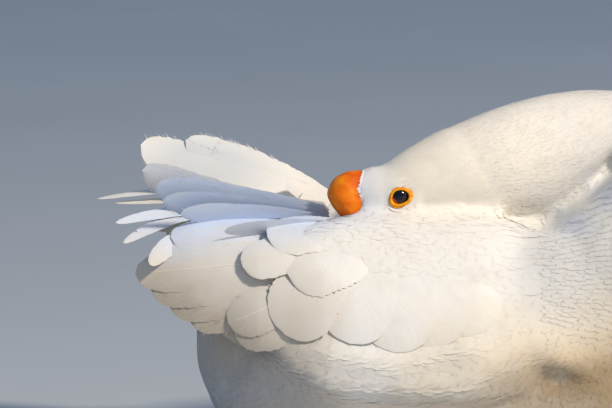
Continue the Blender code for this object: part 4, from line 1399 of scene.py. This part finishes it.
def make_lid(side, material):
    ahead, rise, facing = lid_axes()
    turns = np.linspace(0, 360, LID_SIDES, endpoint=False)
    opening, reach = sum(np.array(lid_reach(turns + d)) for d in range(-14, 15, 4)) / 8
    turns = np.radians(turns)
    ways = spanned(np.cos(turns), ahead, np.sin(turns), rise)
    rings = []
    for share, height in LID_PROFILE:
        radius = opening + (reach - opening) * share
        radius += 0.22 * np.sin(turns * 41 + share * 6) * share
        warts = 0.16 * np.sin(turns * 29 + 9 * share) * np.sin(share * 17)
        centre = np.array([0, LID_OUT, 0]) + facing * (height + warts * (0 < share < 1))[:, None]
        rings.append(centre + ways * radius[:, None])
    grid = np.array(rings)
    grid += facing * roughened(grid, 0.9, 0.3)[..., None]
    faces = sheet_faces(*grid.shape[:2], closed=True)[:, ::-side]
    name = sided("eyelid", side)
    lid_piece(f"{name}_skin", grid, faces, side, material, [name])


def make_corner(side, material):
    """The red corner of the eye, towards the bill. It lies on the ball or over it."""
    ahead, rise, facing = lid_axes()
    rows, columns = CORNER_GRID
    turns = np.radians(np.linspace(*CORNER_TURNS, rows))
    turns, reach = np.meshgrid(turns, np.linspace(*CORNER_REACH, columns), indexing="ij")
    end = 1 - np.abs(np.linspace(-1, 1, rows))[:, None] ** 3
    reach = reach.max() - (reach.max() - reach) * end
    grid = spanned(reach * np.cos(turns), ahead, reach * np.sin(turns), rise)
    grid += np.array([0, LID_OUT, 0])
    from_ball = grid - np.array([0, EYE_OUT, 0])
    along = from_ball @ facing
    radius = EYE_RADIUS + CORNER_OUT + 0.2
    over_ball = np.sqrt(along**2 - (from_ball**2).sum(axis=-1) + radius**2) - along
    height = np.maximum(over_ball, CORNER_HEIGHT + 0.25 * np.sin(reach * 2.2) * end)
    grid += np.multiply.outer(height, facing)
    lid_piece(sided("eye_corner", side), grid, sheet_faces(rows, columns)[:, ::side], side, material)


def make_eye(side, material):
    turns = ring_turns(EYE_SIDES)
    facing = unit(LID_FACING) * (1, side, 1)
    first = unit(np.cross(facing, (0, 0, 1)))
    second = np.cross(first, facing)
    centre = np.array([0, side * EYE_OUT, 0])
    angles = np.linspace(0.03, math.pi - 0.03, EYE_RINGS)
    rings = []
    for angle in angles:
        bulge = 1 + EYE_BULGE * max(math.cos(angle), 0) ** 6
        ring = spanned(np.cos(turns) * math.sin(angle), first, np.sin(turns) * math.sin(angle), second)
        rings.append(centre + (ring + facing * math.cos(angle)) * EYE_RADIUS * bulge)
    points, triangles = closed_loft(in_head(np.array(rings)))
    name = sided("eye", side)
    mesh = new_mesh(f"{name}_ball", points, [triangles[:, ::side]])
    # The angle from the way that the eye looks, in right angles, last at the loft's two ends.
    angles = np.append(np.degrees(np.repeat(angles, EYE_SIDES)), (0, 180)) / 90
    mesh.attributes.new("angle", "FLOAT", "POINT").data.foreach_set("value", angles)
    place(f"{name}_ball", mesh, material, [name])


def rounded_ends(points):
    """The shank's points with its ends drawn in, so that it has a heel and runs into the foot."""
    x = points[:, 0]
    middle = np.median(points, axis=0)
    full = np.ones(len(x))
    for way, end, reach, least in ((1, x.min(), *HEEL), (-1, x.max(), *ANKLE)):
        share = held((x - end) * way / reach)
        full = np.minimum(full, np.sqrt(1 - (1 - share) ** 2) * (1 - least) + least)
    points[:, 1:] = middle[1:] + (points[:, 1:] - middle[1:]) * full[:, None]
    return points


def make_leg(side, material):
    """The shank and the webbed foot, evenly meshed and with scales."""
    for kind in ("leg", "foot"):
        node = sided(kind, side)
        mesh = remeshed(*node_surface(node)[:2], LEG_VOXEL, 2)
        points, normals = points_of(mesh), normals_of(mesh)
        cells = np.array([noise.voronoi(Vector(p) * 0.28)[0][0] for p in points.tolist()])
        points -= normals * (0.25 + 0.7 * held(cells - 0.35))[:, None]
        if kind == "leg":
            points = rounded_ends(points)
        else:
            back = held(1 - (points[:, 0] - points[:, 0].min()) / ANKLE[0])
            points[:, 0] -= ANKLE_OVERLAP * back
        points[:, 2] = np.maximum(points[:, 2], 0)
        set_points(mesh, points)
        mesh.shade_smooth()
        place(f"{node}_skin", mesh, material, [node])


def make_claws(side, material):
    around = ring_turns(CLAW_SIDES)
    claws = []
    for length, angle in zip(TOE_LENGTHS, TOE_ANGLES):
        turn = math.radians(angle)
        way = np.array([math.cos(turn), -side * math.sin(turn), 0])
        across = np.array([math.sin(turn), side * math.cos(turn), 0])
        root = np.array([TOE_ROOT_X, side * LEG_Y, 0]) + way * (length - CLAW_INSET)
        rings = []
        for share in np.linspace(0, 1, CLAW_RINGS):
            size = CLAW_RADIUS * math.sqrt(max(1 - share**1.6, 0)) + 0.08
            middle = root + way * CLAW_LENGTH * share + np.array([0, 0, 2.2 - 1.9 * share**2])
            ring = middle + np.outer(np.cos(around) * size * 0.8, across)
            rings.append(ring + np.outer(np.sin(around) * size, (0, 0, 1)))
        points, triangles = closed_loft(rings)
        points[:, 2] = np.maximum(points[:, 2], 0.05)
        claws.append((points, triangles))
    points, triangles = joined(claws)
    name = sided("claws", side)
    place(name, new_mesh(name, points, [triangles]), material)


class Nodes:
    """A new material and short ways to add nodes to it."""

    def __init__(self, name, **values):
        self.material = bpy.data.materials.new(name)
        self.material.use_nodes = True
        self.tree = self.material.node_tree
        self.shader = self.tree.nodes["Principled BSDF"]
        for socket, value in values.items():
            self.shader.inputs[socket.replace("_", " ")].default_value = value
        self.here = self.add("TexCoord").outputs["Object"]

    def link(self, value, socket):
        if isinstance(value, bpy.types.NodeSocket):
            self.tree.links.new(value, socket)
        else:
            socket.default_value = value

    def add(self, kind, settings=(), **values):
        """A node with its settings, and its inputs by name or, as I and a number, by place."""
        node = self.tree.nodes.new(f"ShaderNode{kind}")
        for key, value in dict(settings).items():
            setattr(node, key, value)
        for socket, value in values.items():
            key = int(socket[1:]) if socket[1:].isdigit() else socket.replace("_", " ")
            self.link(value, node.inputs[key])
        return node

    def math(self, operation, *values):
        node = self.add("Math", {"operation": operation})
        for socket, value in zip(node.inputs, values):
            self.link(value, socket)
        return node.outputs[0]

    def noise(self, scale, detail, roughness=0.55, where=None):
        values = {"Scale": scale, "Detail": detail, "Roughness": roughness}
        return self.add("TexNoise", Vector=where or self.here, **values).outputs["Fac"]

    def ramp(self, value, *stops):
        """A value turned to colour or grey by stops of a place and a colour."""
        node = self.add("ValToRGB", Fac=value)
        elements = node.color_ramp.elements
        while len(elements) < len(stops):
            elements.new(0.5)
        for element, (where, colour) in zip(elements, stops):
            element.position = where
            element.color = (*(colour if isinstance(colour, tuple) else [colour] * 3), 1)
        return node.outputs["Color"]

    def mix(self, share, first, second):
        """The first colour turned to the second by a share."""
        node = self.add("Mix", {"data_type": "RGBA"})
        for socket, value in ((node.inputs[0], share), (node.inputs[6], first), (node.inputs[7], second)):
            if isinstance(value, tuple):
                value = (*value, 1)
            self.link(value, socket)
        return node.outputs[2]

    def patch(self, middle, reach):
        """1 at a place, falling to 0 at its reach along each axis."""
        away = self.here
        for operation, other in (("SUBTRACT", middle), ("DIVIDE", reach)):
            away = self.add("VectorMath", {"operation": operation}, I0=away, I1=other).outputs[0]
        length = self.add("VectorMath", {"operation": "LENGTH"}, I0=away).outputs["Value"]
        return self.math("SUBTRACT", 1.0, length)

    def attribute(self, name):
        return self.add("Attribute", {"attribute_name": name}).outputs["Fac"]

    def colour(self, value):
        self.link(value, self.shader.inputs["Base Color"])

    def bump(self, height, strength, distance):
        """Adds bumps on top of those there are."""
        node = self.add("Bump", Height=height, Strength=strength, Distance=distance)
        previous = self.shader.inputs["Normal"].links
        if previous:
            self.link(previous[0].from_socket, node.inputs["Normal"])
        self.link(node.outputs["Normal"], self.shader.inputs["Normal"])


def feather_material(name, barbs=0.0, slant=0.0, depth=0.3):
    """White feathers, cream where they are worn, with patches of painted shade, painted warm light and
    staining. Barbs run across a vane, slanting to its tip.
    """
    nodes = Nodes(name, Roughness=0.7, Sheen_Weight=0.15, Sheen_Roughness=0.5, Specular_IOR_Level=0.25)
    broad, fine = nodes.noise(9, 3), nodes.noise(60, 5, 0.65)
    # Two whites, the patches of painted shade, painted warm light and staining with uneven edges, and dust.
    colour = nodes.mix(nodes.ramp(broad, (0.35, 0.0), (0.7, 1.0)), WHITE, WARM_WHITE)
    uneven = nodes.math("MULTIPLY", nodes.math("SUBTRACT", broad, 0.5), 0.8)
    for middle, reach, tint in SHADE_LIGHT_AND_STAIN_TINTS:
        share = nodes.ramp(nodes.math("ADD", nodes.patch(middle, reach), uneven), (0.05, 0.0), (0.65, 1.0))
        colour = nodes.mix(share, colour, tint)
    colour = nodes.mix(nodes.ramp(fine, (0.5, 0.0), (0.85, 0.5)), colour, DUSTY)
    height = nodes.noise(900, 2, 0.6)
    if barbs:
        # Barbs as bumps, a wave each.
        vane = nodes.add("UVMap", {"uv_map": "Vane"})
        flat = nodes.add("SeparateXYZ", Vector=vane.outputs["UV"])
        across = nodes.math("ABSOLUTE", flat.outputs["X"])
        run = nodes.math("SUBTRACT", flat.outputs["Y"], nodes.math("MULTIPLY", across, slant))
        run = nodes.math("ADD", run, nodes.math("MULTIPLY", fine, 0.03))
        height = nodes.math("SINE", nodes.math("MULTIPLY", run, barbs * 2 * math.pi))
        # Dusty streaks along the barbs, and a tan edge towards the tip.
        x = nodes.add("SeparateXYZ", Vector=nodes.here).outputs["X"]
        onward = nodes.math("MULTIPLY", run, 40)
        where = nodes.add("CombineXYZ", X=flat.outputs["X"], Y=onward, Z=x).outputs[0]
        streak = nodes.noise(1, 3, 0.6, where)
        colour = nodes.mix(nodes.ramp(streak, (0.45, 0.0), (0.8, 0.35)), colour, DUSTY)
        rim, outer = nodes.ramp(across, (0.93, 0.0), (0.99, 0.7)), nodes.ramp(run, (0.45, 0.0), (0.7, 1.0))
        colour = nodes.mix(nodes.math("MULTIPLY", rim, outer), colour, EDGE_TAN)
    nodes.colour(colour)
    nodes.bump(height, depth, 0.0004)
    return nodes.material


def mottled(name, stops, scale, bumps=None, **values):
    """A material that wanders between two colours. Bumps have scale, detail, strength and height."""
    nodes = Nodes(name, **values)
    nodes.colour(nodes.ramp(nodes.noise(scale, 3), *stops))
    if bumps:
        bump_scale, detail, strength, height = bumps
        nodes.bump(nodes.noise(bump_scale, detail), strength, height)
    return nodes.material


def horn_material():
    """Blotched orange horn, flecked with a paler one and streaked red at the knob's root."""
    under_skin = {"Subsurface_Weight": 0.06, "Subsurface_Scale": 0.003}
    nodes = Nodes("horn", Roughness=0.5, Specular_IOR_Level=0.2, **under_skin)
    flecks = nodes.ramp(nodes.noise(420, 3, 0.7), (0.58, 0.0), (0.8, 0.4))
    colour = nodes.mix(flecks, nodes.ramp(nodes.noise(60, 4, 0.6), *HORN_BLOTCHES), ORANGE_PALE)
    streaks = nodes.ramp(nodes.noise(480, 2, 0.5), (0.42, 0.25), (0.6, 1.0))
    nodes.colour(nodes.mix(nodes.math("MULTIPLY", nodes.attribute("red"), streaks), colour, RED))
    nodes.bump(nodes.noise(260, 4, 0.6), 0.35, 0.0006)
    nodes.bump(nodes.noise(1400, 2), 0.25, 0.0002)
    return nodes.material


def lid_material():
    """Warty orange skin."""
    under_skin = {"Subsurface_Weight": 0.1, "Subsurface_Scale": 0.002}
    nodes = Nodes("lid", Roughness=0.5, Specular_IOR_Level=0.25, **under_skin)
    nodes.colour(nodes.ramp(nodes.noise(260, 4, 0.6), *LID_MOTTLE))
    cells = nodes.add("TexVoronoi", Vector=nodes.here, Scale=900.0)
    nodes.bump(cells.outputs["Distance"], 0.4, 0.0004)
    return nodes.material


def eye_material():
    nodes = Nodes("eye", Roughness=0.1, Coat_Weight=0.3, Coat_Roughness=0.04, Specular_IOR_Level=0.3)
    fibres = nodes.noise(500, 3)
    uneven = nodes.math("MULTIPLY", nodes.math("SUBTRACT", fibres, 0.5), 0.06)
    nodes.colour(nodes.ramp(nodes.math("ADD", nodes.attribute("angle"), uneven), *EYE_BANDS))
    nodes.bump(fibres, 0.03, 0.0001)
    return nodes.material


def foot_material():
    """Orange skin in scales."""
    nodes = Nodes("foot", Roughness=0.5)
    nodes.colour(nodes.ramp(nodes.noise(60, 4, 0.6), *FOOT_MOTTLE))
    cells = nodes.add("TexVoronoi", {"feature": "DISTANCE_TO_EDGE"}, Vector=nodes.here, Scale=420.0)
    nodes.bump(nodes.ramp(cells.outputs["Distance"], (0.0, 0.0), (0.18, 1.0)), 0.6, 0.0007)
    return nodes.material


def make_stage():
    floor = bpy.data.meshes.new("floor")
    corners = [(x * FLOOR_HALF, y * FLOOR_HALF, 0) for x, y in ((-1, -1), (1, -1), (1, 1), (-1, 1))]
    floor.from_pydata(corners, [], [(0, 1, 2, 3)])
    floor.materials.append(mottled("floor", FLOOR_MOTTLE, 2, Roughness=0.8))
    add_object("floor", floor)
    world = bpy.data.worlds.new("studio")
    world.use_nodes = True
    background = world.node_tree.nodes["Background"].inputs
    background["Color"].default_value = SKY
    background["Strength"].default_value = SKY_STRENGTH
    bpy.context.scene.world = world


def aim(thing, way, distance):
    """Puts a lamp or the camera at a distance out along a way, turned to the point in view."""
    thing.location = Vector(AIM) + way * distance
    thing.rotation_mode = "QUATERNION"
    thing.rotation_quaternion = (-way).to_track_quat("-Z", "Y")


def add_lamp(name, azimuth, elevation, distance, size, power, colour, seen):
    a, e = math.radians(azimuth), math.radians(elevation)
    data = bpy.data.lights.new(name, "AREA")
    data.size, data.energy, data.color = size, power, colour
    lamp = add_object(name, data)
    lamp.visible_glossy = seen
    aim(lamp, Vector((math.sin(a) * math.cos(e), -math.cos(a) * math.cos(e), math.sin(e))), distance)


def make_camera():
    data = bpy.data.cameras.new("camera")
    data.lens = data.sensor_width * DISTANCE / FRAME_WIDTH
    data.clip_end = 100
    camera = add_object("camera", data)
    aim(camera, Vector((0, -math.cos(ELEVATION), math.sin(ELEVATION))), DISTANCE)
    bpy.context.scene.camera = camera


def make_goose():
    skin = Skin()
    skin.finish()
    skin.horn = [tree_of(*node_surface(name)[:2]) for name in HORN]
    draw, white = coat(skin)
    vanes = feather_material("vanes", 70, 0.35, 0.12)
    bumps = (300, 2, 0.2, 0.0003)
    shafts = mottled("shafts", SHAFT_MOTTLE, 40, bumps, Roughness=0.35, Specular_IOR_Level=0.5)
    for side in SIDES:
        make_wing(skin, side, vanes, shafts)
    make_tail(skin, vanes, shafts)
    horn = horn_material()
    add_face_edge(skin, make_knob(horn), draw, white)
    make_bill(horn)
    lid, eye, foot = lid_material(), eye_material(), foot_material()
    bumps = (900, 2, 0.2, 0.0002)
    corner = mottled("eye_corner", CORNER_MOTTLE, 500, bumps, Roughness=0.2, Coat_Weight=0.5)
    claw = mottled("claws", CLAW_MOTTLE, 120, (500, 3, 0.3, 0.0003), Roughness=0.35)
    for side in SIDES:
        make_lid(side, lid)
        make_corner(side, corner)
        make_eye(side, eye)
        make_leg(side, foot)
        make_claws(side, claw)


make_stage()
make_camera()
for lamp in LAMPS:
    add_lamp(*lamp)
make_goose()
bpy.context.scene.view_settings.view_transform = "Standard"
